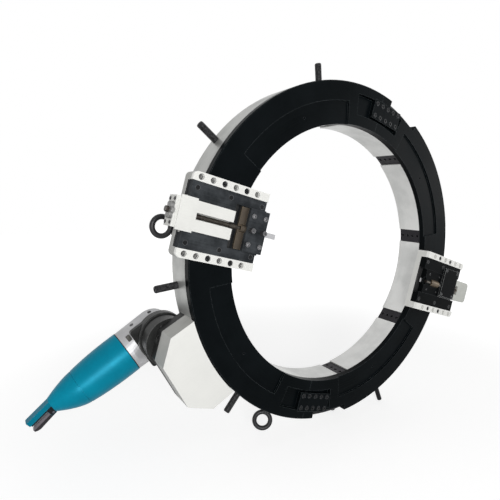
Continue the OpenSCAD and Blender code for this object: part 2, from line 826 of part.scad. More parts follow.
pocket_depth = 6;
pocket_past_mid = 5.5;
pocket_out = (bore_r + ring_r) / 2 + pocket_past_mid;
pocket_from = 22.5;
pocket_to = 73.5;
sight_hole_at = 51.3;
sight_hole_pos = bore_r + 34;
sight_hole_r = 3;
notch_from = 4.5;
notch_to = 20;
notch_depth = 21;
notch_in = ring_r - notch_depth;
gear_screws = 6;
gear_screw_in = 14;

module face_ring(start) {
    mid = start + 90;
    color(steel_black) facing() difference() {
        half_turn(start)
            polygon([[bore_r, face_back], [ring_r, face_back], [ring_r, face_front - rim_chamfer],
                     [ring_r - rim_chamfer, face_front], [bore_r, face_front]]);
        for (side = [-1, 1]) {
            a = mid + side * (pocket_from + pocket_to) / 2;
            half = (pocket_to - pocket_from) / 2;
            sector(bore_r - 5, pocket_out, a - half, a + half, face_front - pocket_depth, face_front + 1);
            rotate([0, 0, mid + side * sight_hole_at]) translate([sight_hole_pos, 0, 0])
                cylinder(r = sight_hole_r, h = far);
        }
        for (s = [0, 1]) joint_cuts(s);
        for (s = [0, 1]) at_slide(s) slide_bolt_holes();
        for (j = [0:2 * gear_screws - 1]) rotate([0, 0, split_angle + (j + 0.5) * 180 / gear_screws])
            translate([gear_screw_pos, 0, face_back - 1])
                cylinder(r = screw_r + seat_clear, h = gear_screw_in + 1);
    }
}

gear_screw_pos = (race_r + ring_pitch_r - tooth_ded) / 2;

module slide_bolt_holes() {
    for (x = rail_bolt_at, side = [-1, 1])
        translate([x, side * rail_mid, face_front - rail_bolt_in])
            cylinder(r = screw_r + seat_clear, h = far);
}

// Joint pocket, rim notch and screw holes at a split, s = 0 above and 1 below
module at_joint(s) {
    rotate([0, 0, split_angle + 180 * s]) mirror([0, s == 0 ? 1 : 0, 0]) children();
}

joint_in = ring_r - joint_rim - joint_w;
joint_screw_in = 6;
joint_start = joint_over - (joint_l - 4 * joint_pitch) / 2;
joint_screw_at = [for (j = [0:4], k = [0, 1])
    [joint_in + joint_w / 2 + (k - 0.5) * joint_rows, j * joint_pitch - joint_start]];

module joint_cuts(s) {
    at_joint(s) {
        sector(joint_in - 8, joint_in + joint_w - 4, -joint_half_angle, joint_half_angle,
               face_front - joint_depth, face_front + 1);
        box([joint_in - 0.2, -joint_over - 0.2, face_front - joint_depth],
            [joint_in + joint_w + 0.2, joint_l - joint_over + 0.2, face_front + 1]);
        sector(notch_in, ring_r + 20, notch_from, notch_to, face_back - 1, face_front + 1);
        for (p = joint_screw_at) translate([p[0], p[1], face_front - joint_depth - joint_screw_in])
            cylinder(r = screw_r + seat_clear, h = joint_depth);
    }
}

module face_ring_left() {
    face_ring(split_angle);
}

module face_ring_right() {
    face_ring(split_angle + 180);
}

// Ring gear with the vee ridge that the rollers straddle
module ring_gear(start) {
    color(oiled_steel) facing() {
        difference() {
            translate([0, 0, gear_back]) linear_extrude(face_back - gear_back) intersection() {
                polygon(gear_points(ring_teeth, ring_phase));
                rotate([0, 0, start]) translate([-far * 2, 0]) square([far * 4, far * 2]);
            }
            translate([0, 0, gear_back - 1]) cylinder(r = race_r, h = far);
            for (j = [0:2 * gear_screws - 1]) rotate([0, 0, split_angle + (j + 0.5) * 180 / gear_screws])
                translate([gear_screw_pos, 0, gear_back - 1]) {
                    cylinder(r = screw_r + seat_clear, h = far);
                    cylinder(r = head_r(screw_r) + 0.5, h = head_h(screw_r) + 3);
                }
        }
        half_turn(start) polygon([[race_r - vee_depth, roller_mid], [race_r + eps, roller_mid - vee_depth],
                                  [race_r + eps, roller_mid + vee_depth]]);
    }
}

module ring_gear_left() {
    ring_gear(split_angle);
}

module ring_gear_right() {
    ring_gear(split_angle + 180);
}

module joint_plates() {
    low = face_front - joint_depth;
    color(steel_black) facing() for (s = [0, 1]) at_joint(s) difference() {
        box([joint_in, -joint_over, low], [joint_in + joint_w, joint_l - joint_over, face_front - 1]);
        for (p = joint_screw_at) translate([p[0], p[1], low - 1]) {
            cylinder(r = screw_r + seat_clear, h = far);
            translate([0, 0, joint_seat + 1]) cylinder(r = head_r(screw_r) + 0.5, h = far);
        }
    }
}

joint_seat = 7;

// Tool slides

rail_bolt_at = [rail_first + rail_pitch, rail_first + 3 * rail_pitch];
rail_bolt_in = 14;
base_corner_r = 12;
gib_screw_at = [base_in + 12, (base_in + base_out) / 2 - 3, base_out - 19];
gib_screw_v = 64;
gib_screw_r = 3;
gib_sink_r = 6.6;
gib_sink_gap = 0.4;
gib_screw_in = 12;
gib_end = base_out - 4;

module at_slide(s) {
    rotate([0, 0, slide_angles[s]]) children();
}

// Plan of a piece whose two outer corners are round
module round_ended(u1, u2, half, r) {
    translate([u1, -half]) square([u2 - r - u1, 2 * half]);
    translate([u1, -half + r]) square([u2 - u1, 2 * (half - r)]);
    for (side = [-1, 1]) translate([u2 - r, side * (half - r)]) circle(r = r);
}

module slide_base(s) {
    color(plate_white) facing() at_slide(s) difference() {
        translate([0, 0, face_front]) linear_extrude(rail_h)
            round_ended(base_in, base_out, base_half_w, base_corner_r);
        box([base_in - 1, rail_w - base_half_w, base_top], [base_out + 1, base_half_w - rail_w, rail_top + 1]);
        for (j = [0:rail_holes - 1], side = [-1, 1])
            translate([rail_first + j * rail_pitch, side * rail_mid, face_front - 1]) {
                cylinder(r = screw_r + 0.5, h = far);
                translate([0, 0, rail_h + 1 - cbore_h]) cylinder(r = cbore_r, h = far);
            }
        for (x = gib_screw_at, side = [-1, 1]) translate([x, side * gib_screw_v, base_top - gib_screw_in])
            cylinder(r = gib_screw_r + seat_clear, h = far);
    }
}

// Gibs, with a wider bay for the tool block inside radius bay_out
module gib_pair(s, bay_out, bay_half) {
    color(steel_black) facing() at_slide(s)
        for (side = [-1, 1]) mirror([0, side < 0 ? 1 : 0, 0]) difference() {
            box([base_in + 1, way_half_w, base_top], [gib_end, gib_out, gib_top]);
            box([base_in, way_half_w - 1, base_top - 1], [bay_out, bay_half, gib_top + 1]);
            box([base_in, way_half_w - 1, base_top - 1], [bay_out, bay_half + bay_lip, lip_top]);
            box([base_in, way_half_w - 1, base_top - 1], [base_out, way_low, lip_top]);
            for (x = gib_screw_at) translate([x, gib_screw_v, 0]) {
                cylinder(r = gib_screw_r + seat_clear, h = far);
                translate([0, 0, gib_top - gib_screw_r])
                    cylinder(r1 = gib_screw_r + seat_clear, r2 = gib_sink_r + 0.2, h = gib_screw_r + eps);
            }
        }
}

module gib_plates_a() {
    gib_pair(0, housing_in, bay_half_w);
}

module gib_plates_b() {
    gib_pair(1, base_out, way_b_half_w);
}

// Body that fills the slideway's cross-section from u1 to u2, up to level top
module way_body(u1, u2, half, lip, top) {
    box([u1, -half - lip + slide_clear, base_top + slide_clear],
        [u2, half + lip - slide_clear, lip_top - slide_clear]);
    box([u1, -half + slide_clear, base_top + slide_clear], [u2, half - slide_clear, top]);
}

module feed_bar(u1, u2, r) {
    radial_bar(u1, u2, r, feed_level);
}

// First slide: open screw housing with an end plate

bay_half_w = 54;
bay_lip = 4;
slot_half_w = 8;
housing_out = base_out + housing_over;
slot_end_wall = 44;
slot_out = housing_out - slot_end_wall;
housing_top = rail_top + 2;
bridge_l = 41;
flange_in = housing_out - bridge_l;
flange_half_w = 39.5;
end_plate_t = 10;
end_plate_out = housing_out + end_plate_t;
end_screw_r = 2.5;
end_screw_at = [for (v = [-27, 27], h = [8, 36]) [v, h]];

module screw_housing_a() {
    color(plate_white) facing() at_slide(0) difference() {
        union() {
            way_body(housing_in + slide_clear, gib_end, way_half_w, way_lip, housing_top);
            box([gib_end - 1, -way_half_w, base_top], [housing_out, way_half_w, housing_top]);
            box([flange_in, -flange_half_w, gib_top + slide_clear], [housing_out, flange_half_w, housing_top]);
            box([housing_out - 1, -way_half_w, face_front + 0.5], [end_plate_out, way_half_w, rail_top - 2]);
        }
        feed_bar(housing_in, end_plate_out + 1, feed_r + run_clear);
        box([housing_in - 1, -slot_half_w, feed_level - slot_half_w], [slot_out, slot_half_w, housing_top + 1]);
        for (p = end_screw_at) translate([0, p[0], 0])
            radial_bar(end_plate_out - 8, end_plate_out + 1, end_screw_r + seat_clear, face_front + p[1]);
    }
}

block_hang = 11;
block_l = 56;
nut_l = 20;
block_in = base_in - block_hang;
block_out = block_in + block_l;
cap_top = rail_top + 3;
nut_out = block_out + nut_l;
nut_top = lip_top + 7;
nut_boss_r = 11;
bit_half_w = 7;
bit_h = 6.5;
bit_low = base_top + 1.5;
bit_a_reach = 47;
bit_a_in = block_in - bit_a_reach;
bit_a_out = block_out - 10;
clamp_screw_l = 7;
cap_screw_u = [block_in + 10, block_out - 12];
cap_screw_v = 35.5;

module tool_block_a() {
    color(steel_black) facing() at_slide(0) difference() {
        union() {
            way_body(block_in, block_out, bay_half_w, bay_lip, cap_top);
            way_body(block_out - 1, nut_out, bay_half_w, bay_lip, lip_top - slide_clear);
        }
        feed_bar(block_out - tool_travel - 18, nut_out + 1, feed_r + 0.5);
        box([block_in - 1, -bit_half_w - seat_clear, bit_low],
            [bit_a_out, bit_half_w + seat_clear, bit_low + bit_h]);
        for (u = cap_screw_u, v = [-cap_screw_v, 0, cap_screw_v])
            translate([u, v, cap_top - (v == 0 ? clamp_screw_l : 16)])
                cylinder(r = screw_r + seat_clear, h = far);
    }
}

// Bronze nut on the tool block's tail, low enough to show the screw
module feed_nut_a() {
    low = lip_top - slide_clear;
    color(bronze) facing() at_slide(0) difference() {
        union() {
            box([block_out, -bay_half_w + 2, low], [nut_out, bay_half_w - 2, nut_top]);
            intersection() {
                feed_bar(block_out, nut_out - 6, nut_boss_r);
                box([block_out, -nut_boss_r, low], [nut_out, nut_boss_r, far]);
            }
        }
        feed_bar(block_out - 1, nut_out + 1, feed_r + slide_clear);
    }
}

// Second slide: closed housing that reaches past the base, with the star wheel in a slot

way_b_half_w = 40;
housing_b_lap = 20;
housing_b_in = base_out - housing_b_lap;
housing_b_out = base_out + housing_b_over;
cover_l = 79.5;
cover_out = housing_b_in - 0.5;
cover_in = cover_out - cover_l;
cover_side = [-36, 64];
cover_top = rail_top + 3;
cover_hole_r = 4.5;
cover_hole_in = 8;
housing_b_half_w = 36;
housing_b_low = face_front + 4;
housing_b_top = rail_top - 2;
corner_b_r = 13;
star_slot_l = 23;
star_slot_out = housing_b_in + star_slot_l;
star_slot_half_w = 16;
star_b_r = 14.5;

module screw_housing_b() {
    color(plate_white) facing() at_slide(1) difference() {
        union() {
            way_body(cover_in + 2, housing_b_in, way_b_half_w, bay_lip, gib_top);
            box([housing_b_in - 1, -housing_b_half_w, base_top + slide_clear],
                [base_out + 2, housing_b_half_w, housing_b_top]);
            translate([0, 0, housing_b_low]) linear_extrude(housing_b_top - housing_b_low)
                round_ended(base_out + 1, housing_b_out, housing_b_half_w, corner_b_r);
        }
        feed_bar(cover_in, housing_b_out - 8, feed_r + run_clear);
        box([housing_b_in, -star_slot_half_w, base_top], [star_slot_out, star_slot_half_w, far]);
        box([cover_in, -base_half_w, gib_top], [cover_out + slide_clear, base_half_w, far]);
    }
}

module cover_plate_b() {
    color(steel_black) facing() at_slide(1) difference() {
        box([cover_in, cover_side[0], gib_top], [cover_out, cover_side[1], cover_top]);
        for (u = [cover_in + cover_hole_in, cover_out - cover_hole_in])
            for (v = [cover_side[0] + cover_hole_in, cover_side[1] - cover_hole_in])
                translate([u, v, cover_top - 5]) cylinder(r = cover_hole_r, h = far);
    }
}

block_b_set = 23;
block_b_in = base_in + block_b_set;
block_b_out = cover_in - 1.5;
block_b_top = gib_top - 3;
nut_b_set = 34;
nut_b_l = 40;
nut_b_in = block_b_in + nut_b_set;
nut_b_out = nut_b_in + nut_b_l;
nut_b_half = 12;
nut_b_low = feed_level - 10;
bit_b_reach = 10;
bit_b_in = block_b_in - bit_b_reach;
bit_b_out = nut_b_in - 6;
screw_b_in = block_b_in + 12;
throat_r = 14;

module tool_block_b() {
    color(oiled_steel) facing() at_slide(1) difference() {
        way_body(block_b_in, block_b_out, way_b_half_w, bay_lip, block_b_top);
        feed_bar(block_b_in + 8, block_b_out + 1, feed_r + 0.5);
        box([block_b_in - 1, -bit_half_w - seat_clear, bit_low],
            [bit_b_out, bit_half_w + seat_clear, bit_low + bit_h]);
        box([nut_b_in - seat_clear, -nut_b_half - seat_clear, nut_b_low],
            [nut_b_out + seat_clear, nut_b_half + seat_clear, far]);
        translate([block_b_in - 4, 0, lip_top]) cylinder(r = throat_r, h = far);
        for (u = [block_b_in + 20, block_b_out - 10], side = [-1, 1])
            translate([u, side * 27, block_b_top - 6]) cylinder(r = screw_r, h = far);
    }
}

module feed_nut_b() {
    color(bronze) facing() at_slide(1) difference() {
        union() {
            box([nut_b_in, -nut_b_half, nut_b_low], [nut_b_out, nut_b_half, feed_level]);
            intersection() {
                feed_bar(nut_b_in, nut_b_out, nut_b_half);
                box([nut_b_in, -nut_b_half, feed_level - 1], [nut_b_out, nut_b_half, far]);
            }
        }
        feed_bar(nut_b_in - 1, nut_b_out + 1, feed_r + slide_clear);
    }
}

// Feed screws, star wheels and tool bits

screw_a_in = block_out - tool_travel + 2;
star_a_in = end_plate_out + 1;
star_b_in = (housing_b_in + star_slot_out - star_t) / 2;
collar_u = slot_out - slide_clear;
hex_r = 7;
hex_l = 8;

module feed_screw_a() {
    color(oiled_steel) facing() at_slide(0) {
        feed_bar(screw_a_in, star_a_in + star_t + 2, feed_r);
        feed_bar(collar_u - 5, collar_u, slot_half_w - 1);
        translate([star_a_in + star_t, 0, feed_level]) rotate([0, 90, 0])
            cylinder(r = hex_r, h = hex_l, $fn = 6);
    }
}

module feed_screw_b() {
    color(oiled_steel) facing() at_slide(1) feed_bar(screw_b_in, housing_b_out - 9, feed_r);
}

// Star wheel with round gullets between its teeth
module star(u, r) {
    translate([u, 0, feed_level]) rotate([0, 90, 0]) linear_extrude(star_t) difference() {
        circle(r = r);
        circle(r = feed_r + seat_clear);
        for (k = [0:star_lobes - 1]) rotate((k + 0.5) * 360 / star_lobes)
            translate([r + 1, 0]) circle(r = 0.3 * r);
    }
}

module star_wheel_a() {
    color(cast_silver) facing() at_slide(0) star(star_a_in, star_r);
}

module star_wheel_b() {
    color(bronze) facing() at_slide(1) star(star_b_in, star_b_r);
}

// Parting tool from u1 to u2, relieved under its edge
module parting_tool(u1, u2) {
    rotate([90, 0, 0]) translate([0, 0, -bit_half_w]) linear_extrude(2 * bit_half_w)
        polygon([[u1, bit_low + bit_h - 0.2], [u1, bit_low + bit_h - 2], [u1 + 3, bit_low + 0.2],
                 [u2, bit_low + 0.2], [u2, bit_low + bit_h - 0.2]]);
}

module tool_bit_a() {
    color(bright_steel) facing() at_slide(0) parting_tool(bit_a_in, bit_a_out - 0.5);
}

module tool_bit_b() {
    color(bright_steel) facing() at_slide(1) parting_tool(bit_b_in, bit_b_out - 0.5);
}

// Screws

module frame_screws() {
    color(steel_black) facing() {
        for (a = [split_angle, split_angle + 180], x = frame_screw_at) rotate([0, 0, a])
            translate([x, -pocket_start, frame_screw_z]) rotate([90, 0, 0])
                cap_screw(frame_screw_r, frame_screw_l - 4);
        rotate([0, 0, gearbox_angle]) {
            for (t = saddle_screw_at) translate([saddle_seat, t, saddle_screw_z]) rotate([0, 90, 0])
                cap_screw(saddle_screw_r, saddle_seat - saddle_screw_in - 2);
            for (p = plate_screw_at) translate([p[0], p[1], plate_back + plate_screw_sink]) rotate([180, 0, 0])
                cap_screw(plate_screw_r, plate_t - plate_screw_sink + plate_screw_in - 2);
        }
        at_shaft() for (a = set_screw_at) rotate([0, 0, a]) translate([0, 0, reducer_back])
            radial_bar(reducer_r - 10, reducer_r + 1, set_screw_r, reducer_l / 2);
    }
}

module ring_screws() {
    color(oiled_steel) facing() {
        for (s = [0, 1]) {
            at_joint(s) for (p = joint_screw_at)
                translate([p[0], p[1], face_front - joint_depth + joint_seat])
                    cap_screw(screw_r, joint_seat + joint_screw_in - 1);
            at_slide(s) {
                for (x = rail_bolt_at, side = [-1, 1]) translate([x, side * rail_mid, rail_top - cbore_h])
                    cap_screw(screw_r, rail_h - cbore_h + rail_bolt_in - 2);
                for (x = gib_screw_at, side = [-1, 1])
                    translate([x, side * gib_screw_v, gib_top - gib_screw_r]) {
                    cylinder(r1 = gib_screw_r, h = gib_screw_r - gib_sink_gap,
                             r2 = gib_sink_r - (gib_sink_r - gib_screw_r) * gib_sink_gap / gib_screw_r);
                    translate([0, 0, gib_screw_r - gib_h - gib_screw_in + 2])
                        cylinder(r = gib_screw_r, h = gib_h + gib_screw_in - gib_screw_r - 2 + eps);
                }
            }
        }
        for (j = [0:2 * gear_screws - 1]) rotate([0, 0, split_angle + (j + 0.5) * 180 / gear_screws])
            translate([gear_screw_pos, 0, gear_back + head_h(screw_r) + 2]) rotate([180, 0, 0])
                cap_screw(screw_r, face_back - gear_back - head_h(screw_r) - 2 + gear_screw_in - 2);
    }
}

frame_left();
frame_right();
roller_axles();
eyebolts();
trip_pin();
frame_screws();
for (k = [1:foot_count]) clamp_foot(k);
for (k = [1:foot_count]) jack_stud(k);
for (k = [1:roller_count]) guide_roller(k);
gearbox_housing();
gearbox_back_plate();
idler_axle();
idler_gear();
drive_pinion();
reducer_housing();
reducer_collar();
motor_gear_case();
motor_housing();
motor_handle();
switch_lever();
face_ring_left();
face_ring_right();
ring_gear_left();
ring_gear_right();
joint_plates();
ring_screws();
cover_plate_b();
slide_base(0);  // slide_base_a
slide_base(1);  // slide_base_b
gib_plates_a();
gib_plates_b();
screw_housing_a();
screw_housing_b();
tool_block_a();
tool_block_b();
feed_nut_a();
feed_nut_b();
feed_screw_a();
feed_screw_b();
star_wheel_a();
star_wheel_b();
tool_bit_a();
tool_bit_b();
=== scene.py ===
import math

import bmesh
import bpy
from mathutils import Matrix, Vector


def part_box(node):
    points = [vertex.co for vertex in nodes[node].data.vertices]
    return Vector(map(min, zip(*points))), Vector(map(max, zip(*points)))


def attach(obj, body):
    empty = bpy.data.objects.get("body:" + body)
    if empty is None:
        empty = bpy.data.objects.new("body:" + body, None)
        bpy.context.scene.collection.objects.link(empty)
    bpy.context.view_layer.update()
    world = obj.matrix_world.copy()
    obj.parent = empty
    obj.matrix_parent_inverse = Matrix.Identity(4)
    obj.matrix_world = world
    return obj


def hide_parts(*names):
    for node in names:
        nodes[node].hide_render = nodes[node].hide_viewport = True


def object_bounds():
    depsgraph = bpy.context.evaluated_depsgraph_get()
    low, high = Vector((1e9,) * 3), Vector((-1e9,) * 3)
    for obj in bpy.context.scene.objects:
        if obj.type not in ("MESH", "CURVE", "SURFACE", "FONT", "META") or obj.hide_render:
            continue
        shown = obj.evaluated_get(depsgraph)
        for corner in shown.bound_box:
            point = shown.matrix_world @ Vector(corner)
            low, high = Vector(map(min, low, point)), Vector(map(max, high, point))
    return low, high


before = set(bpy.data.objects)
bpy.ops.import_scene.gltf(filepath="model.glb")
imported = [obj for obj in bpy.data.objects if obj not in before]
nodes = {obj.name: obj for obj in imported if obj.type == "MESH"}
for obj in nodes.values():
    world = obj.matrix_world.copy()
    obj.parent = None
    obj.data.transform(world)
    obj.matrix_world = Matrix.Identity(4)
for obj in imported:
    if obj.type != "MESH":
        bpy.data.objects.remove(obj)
cad_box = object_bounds()
scene = bpy.context.scene

# Studio. A pale seamless floor lies under the machine, a large soft lamp stands behind the camera
# and a weaker one far on the right. The camera stands where the photograph was taken.
eye = Vector((-0.8979, -0.9831, 0.1985))
sight = Vector((0.5196, 0.8425, -0.1422))
lens = bpy.data.cameras.new("camera")
lens.lens = 30.24
lens.sensor_width = 36.0
camera = bpy.data.objects.new("camera", lens)
camera.location = eye
camera.rotation_euler = sight.to_track_quat("-Z", "Y").to_euler()
scene.collection.objects.link(camera)
scene.camera = camera
scene.view_settings.view_transform = "Standard"


def soft_lamp(name, place, aim, side, watts):
    """A square soft box that faces a point."""
    light = bpy.data.lights.new(name, "AREA")
    light.shape = "SQUARE"
    light.size = side
    light.energy = watts
    lamp = bpy.data.objects.new(name, light)
    lamp.location = place
    lamp.rotation_euler = (Vector(aim) - Vector(place)).to_track_quat("-Z", "Y").to_euler()
    scene.collection.objects.link(lamp)


ring_centre = (0.0, 0.0, 0.0)
soft_lamp("key_lamp", place=(-1.6, -2.9, 0.4), aim=ring_centre, side=1.2, watts=76.0)
soft_lamp("fill_lamp", place=(3.0, -2.2, 0.4), aim=ring_centre, side=1.4, watts=22.0)


def seen_rays(tree):
    """1 for rays from the camera, a shiny surface or glass, 0 for stray light."""
    path = tree.nodes.new("ShaderNodeLightPath")
    mirror = tree.nodes.new("ShaderNodeMath")
    mirror.operation = "MAXIMUM"
    tree.links.new(path.outputs["Is Glossy Ray"], mirror.inputs[0])
    tree.links.new(path.outputs["Is Transmission Ray"], mirror.inputs[1])
    seen = tree.nodes.new("ShaderNodeMath")
    seen.operation = "MAXIMUM"
    tree.links.new(path.outputs["Is Camera Ray"], seen.inputs[0])
    tree.links.new(mirror.outputs[0], seen.inputs[1])
    return seen.outputs[0]


ambient = 0.38
studio = bpy.data.worlds.new("studio")
studio.use_nodes = True
scene.world = studio
sky = studio.node_tree.nodes["Background"]
sky.inputs["Color"].default_value = (1.0, 1.0, 1.0, 1.0)
level = studio.node_tree.nodes.new("ShaderNodeMapRange")
level.inputs["To Min"].default_value = ambient
level.inputs["To Max"].default_value = 1.0
studio.node_tree.links.new(seen_rays(studio.node_tree), level.inputs["Value"])
studio.node_tree.links.new(level.outputs["Result"], sky.inputs["Strength"])

floor_grey = (0.55, 0.55, 0.55)
floor_side = 14.0
floor_drop = 0.004
floor_glow = (0.66, 1.0)
glow_reach = (0.9, 2.6)
paper = bpy.data.materials.new("floor_paper")
paper.use_nodes = True
tree = paper.node_tree
tree.nodes.remove(tree.nodes["Principled BSDF"])
matt = tree.nodes.new("ShaderNodeBsdfDiffuse")
matt.inputs["Color"].default_value = (*floor_grey, 1.0)
glow = tree.nodes.new("ShaderNodeEmission")
away = tree.nodes.new("ShaderNodeVectorMath")
away.operation = "LENGTH"
tree.links.new(tree.nodes.new("ShaderNodeTexCoord").outputs["Object"], away.inputs[0])
fade = tree.nodes.new("ShaderNodeMapRange")
fade.interpolation_type = "SMOOTHSTEP"
fade.inputs["From Min"].default_value = glow_reach[0]
fade.inputs["From Max"].default_value = glow_reach[1]
fade.inputs["To Min"].default_value = floor_glow[0]
fade.inputs["To Max"].default_value = floor_glow[1]
tree.links.new(away.outputs["Value"], fade.inputs["Value"])
lift = tree.nodes.new("ShaderNodeMath")
lift.operation = "MULTIPLY"
tree.links.new(seen_rays(tree), lift.inputs[0])
tree.links.new(fade.outputs["Result"], lift.inputs[1])
tree.links.new(lift.outputs[0], glow.inputs["Strength"])
both = tree.nodes.new("ShaderNodeAddShader")
tree.links.new(matt.outputs[0], both.inputs[0])
tree.links.new(glow.outputs[0], both.inputs[1])
tree.links.new(both.outputs[0], tree.nodes["Material Output"].inputs["Surface"])
shape = bmesh.new()
bmesh.ops.create_grid(shape, x_segments=1, y_segments=1, size=floor_side / 2)
bmesh.ops.translate(shape, verts=shape.verts, vec=(0.0, 0.0, cad_box[0][2] - floor_drop))
mesh = bpy.data.meshes.new("floor")
shape.to_mesh(mesh)
shape.free()
mesh.materials.append(paper)
floor = bpy.data.objects.new("floor", mesh)
scene.collection.objects.link(floor)

# Clamp frame. Two half rings of aluminium plate, turned all over, with the gear channel turned
# into the front face. Four cap screws in milled pockets draw the halves together. They and the
# screws of the gearbox and reducer are black, with edges lighter as rubbed wear and as a painted glint.
bore_edge = 0.388
# Level below which the frame's faces that look to the tool side are painted near black as shade.
shaded_below = 0.1


def node_group(name, takes, gives):
    """An empty shader group with named inputs and outputs."""
    group = bpy.data.node_groups.new(name, "ShaderNodeTree")
    for title, kind, value in takes:
        socket = group.interface.new_socket(title, in_out="INPUT", socket_type=kind)
        if value is not None:
            socket.default_value = value
    for title in gives:
        group.interface.new_socket(title, in_out="OUTPUT", socket_type="NodeSocketFloat")
    return group, group.nodes.new("NodeGroupInput"), group.nodes.new("NodeGroupOutput")


def sum_node(tree, operation, first, second):
    """A Math node of two sockets or numbers."""
    node = tree.nodes.new("ShaderNodeMath")
    node.operation = operation
    for place, value in enumerate((first, second)):
        if isinstance(value, (int, float)):
            node.inputs[place].default_value = value
        else:
            tree.links.new(value, node.inputs[place])
    return node.outputs[0]


def ring_radius(tree, place):
    """Distance from the pipe axis, from the sockets of a place's parts."""
    across = sum_node(tree, "MULTIPLY", place["X"], place["X"])
    upwards = sum_node(tree, "MULTIPLY", place["Z"], place["Z"])
    return sum_node(tree, "SQRT", sum_node(tree, "ADD", across, upwards), 0.0)


# Lathe marks: fine rings round the pipe axis on flat faces, and fine hoops on round ones.
lathe_marks, source, drain = node_group(
    "lathe_marks",
    [("Position", "NodeSocketVector", None), ("Fineness", "NodeSocketFloat", 900.0)],
    ["Marks"],
)
split = lathe_marks.nodes.new("ShaderNodeSeparateXYZ")
lathe_marks.links.new(source.outputs["Position"], split.inputs[0])
radius = ring_radius(lathe_marks, split.outputs)
join = lathe_marks.nodes.new("ShaderNodeCombineXYZ")
lathe_marks.links.new(
    sum_node(lathe_marks, "MULTIPLY", radius, source.outputs["Fineness"]), join.inputs["X"]
)
lathe_marks.links.new(
    sum_node(lathe_marks, "MULTIPLY", split.outputs["Y"], source.outputs["Fineness"]), join.inputs["Y"]
)
rings = lathe_marks.nodes.new("ShaderNodeTexNoise")
rings.inputs["Scale"].default_value = 1.0
rings.inputs["Detail"].default_value = 3.0
lathe_marks.links.new(join.outputs[0], rings.inputs["Vector"])
lathe_marks.links.new(rings.outputs["Fac"], drain.inputs["Marks"])

# Cutter marks: fine straight strokes along one direction, which Turn swings round the pipe axis.
stroke_stretch = (0.02, 1.0, 1.0)
cutter_marks, source, drain = node_group(
    "cutter_marks",
    [
        ("Position", "NodeSocketVector", None),
        ("Fineness", "NodeSocketFloat", 900.0),
        ("Turn", "NodeSocketFloat", 0.0),
    ],
    ["Marks"],
)
swing = cutter_marks.nodes.new("ShaderNodeVectorRotate")
swing.rotation_type = "Y_AXIS"
cutter_marks.links.new(source.outputs["Position"], swing.inputs["Vector"])
cutter_marks.links.new(source.outputs["Turn"], swing.inputs["Angle"])
stretch = cutter_marks.nodes.new("ShaderNodeVectorMath")
stretch.operation = "MULTIPLY"
stretch.inputs[1].default_value = stroke_stretch
cutter_marks.links.new(swing.outputs["Vector"], stretch.inputs[0])
strokes = cutter_marks.nodes.new("ShaderNodeTexNoise")
strokes.inputs["Detail"].default_value = 3.0
cutter_marks.links.new(stretch.outputs[0], strokes.inputs["Vector"])
cutter_marks.links.new(source.outputs["Fineness"], strokes.inputs["Scale"])
cutter_marks.links.new(strokes.outputs["Fac"], drain.inputs["Marks"])

# Skin: the fine grain of a blasted, cast or moulded surface.
skin, source, drain = node_group(
    "skin",
    [("Position", "NodeSocketVector", None), ("Fineness", "NodeSocketFloat", 900.0)],
    ["Marks"],
)
pits = skin.nodes.new("ShaderNodeTexNoise")
pits.inputs["Detail"].default_value = 4.0
skin.links.new(source.outputs["Position"], pits.inputs["Vector"])
skin.links.new(source.outputs["Fineness"], pits.inputs["Scale"])
skin.links.new(pits.outputs["Fac"], drain.inputs["Marks"])

# Handling: large soft smudges where a surface was wiped, oiled or touched.
handling, source, drain = node_group(
    "handling",
    [("Position", "NodeSocketVector", None), ("Patch", "NodeSocketFloat", 14.0)],
    ["Smudge"],
)
smear = handling.nodes.new("ShaderNodeTexNoise")
smear.inputs["Detail"].default_value = 5.0
smear.inputs["Roughness"].default_value = 0.6
handling.links.new(source.outputs["Position"], smear.inputs["Vector"])
handling.links.new(source.outputs["Patch"], smear.inputs["Scale"])
even = handling.nodes.new("ShaderNodeMapRange")
even.interpolation_type = "SMOOTHSTEP"
even.inputs["From Min"].default_value = 0.34
even.inputs["From Max"].default_value = 0.68
handling.links.new(smear.outputs["Fac"], even.inputs["Value"])
handling.links.new(even.outputs["Result"], drain.inputs["Smudge"])

# Worn and glinting edges: 1 along sharp edges, where the finish is rubbed through, broken up in short runs.
# On the screws and the face ring the lighter edge tone is also a painted glint.
wear_and_glint_gain = 7.0
wear_and_glint_edges, source, drain = node_group(
    "wear_and_glint_edges",
    [("Position", "NodeSocketVector", None), ("Reach", "NodeSocketFloat", 0.001)],
    ["WearAndGlint"],
)
rounded = wear_and_glint_edges.nodes.new("ShaderNodeBevel")
rounded.samples = 6
wear_and_glint_edges.links.new(source.outputs["Reach"], rounded.inputs["Radius"])
flat = wear_and_glint_edges.nodes.new("ShaderNodeNewGeometry")
lean = wear_and_glint_edges.nodes.new("ShaderNodeVectorMath")
lean.operation = "DOT_PRODUCT"
wear_and_glint_edges.links.new(rounded.outputs["Normal"], lean.inputs[0])
wear_and_glint_edges.links.new(flat.outputs["Normal"], lean.inputs[1])
bent = sum_node(wear_and_glint_edges, "SUBTRACT", 1.0, lean.outputs["Value"])
runs = wear_and_glint_edges.nodes.new("ShaderNodeTexNoise")
runs.inputs["Scale"].default_value = 160.0
runs.inputs["Detail"].default_value = 3.0
wear_and_glint_edges.links.new(source.outputs["Position"], runs.inputs["Vector"])
broken = wear_and_glint_edges.nodes.new("ShaderNodeMapRange")
broken.inputs["From Min"].default_value = 0.3
broken.inputs["From Max"].default_value = 0.62
wear_and_glint_edges.links.new(runs.outputs["Fac"], broken.inputs["Value"])
strong = sum_node(wear_and_glint_edges, "MULTIPLY", bent, wear_and_glint_gain)
wear_and_glint = sum_node(wear_and_glint_edges, "MULTIPLY", strong, broken.outputs["Result"])
wear_and_glint_edges.links.new(sum_node(wear_and_glint_edges, "MINIMUM", wear_and_glint, 1.0), drain.inputs["WearAndGlint"])

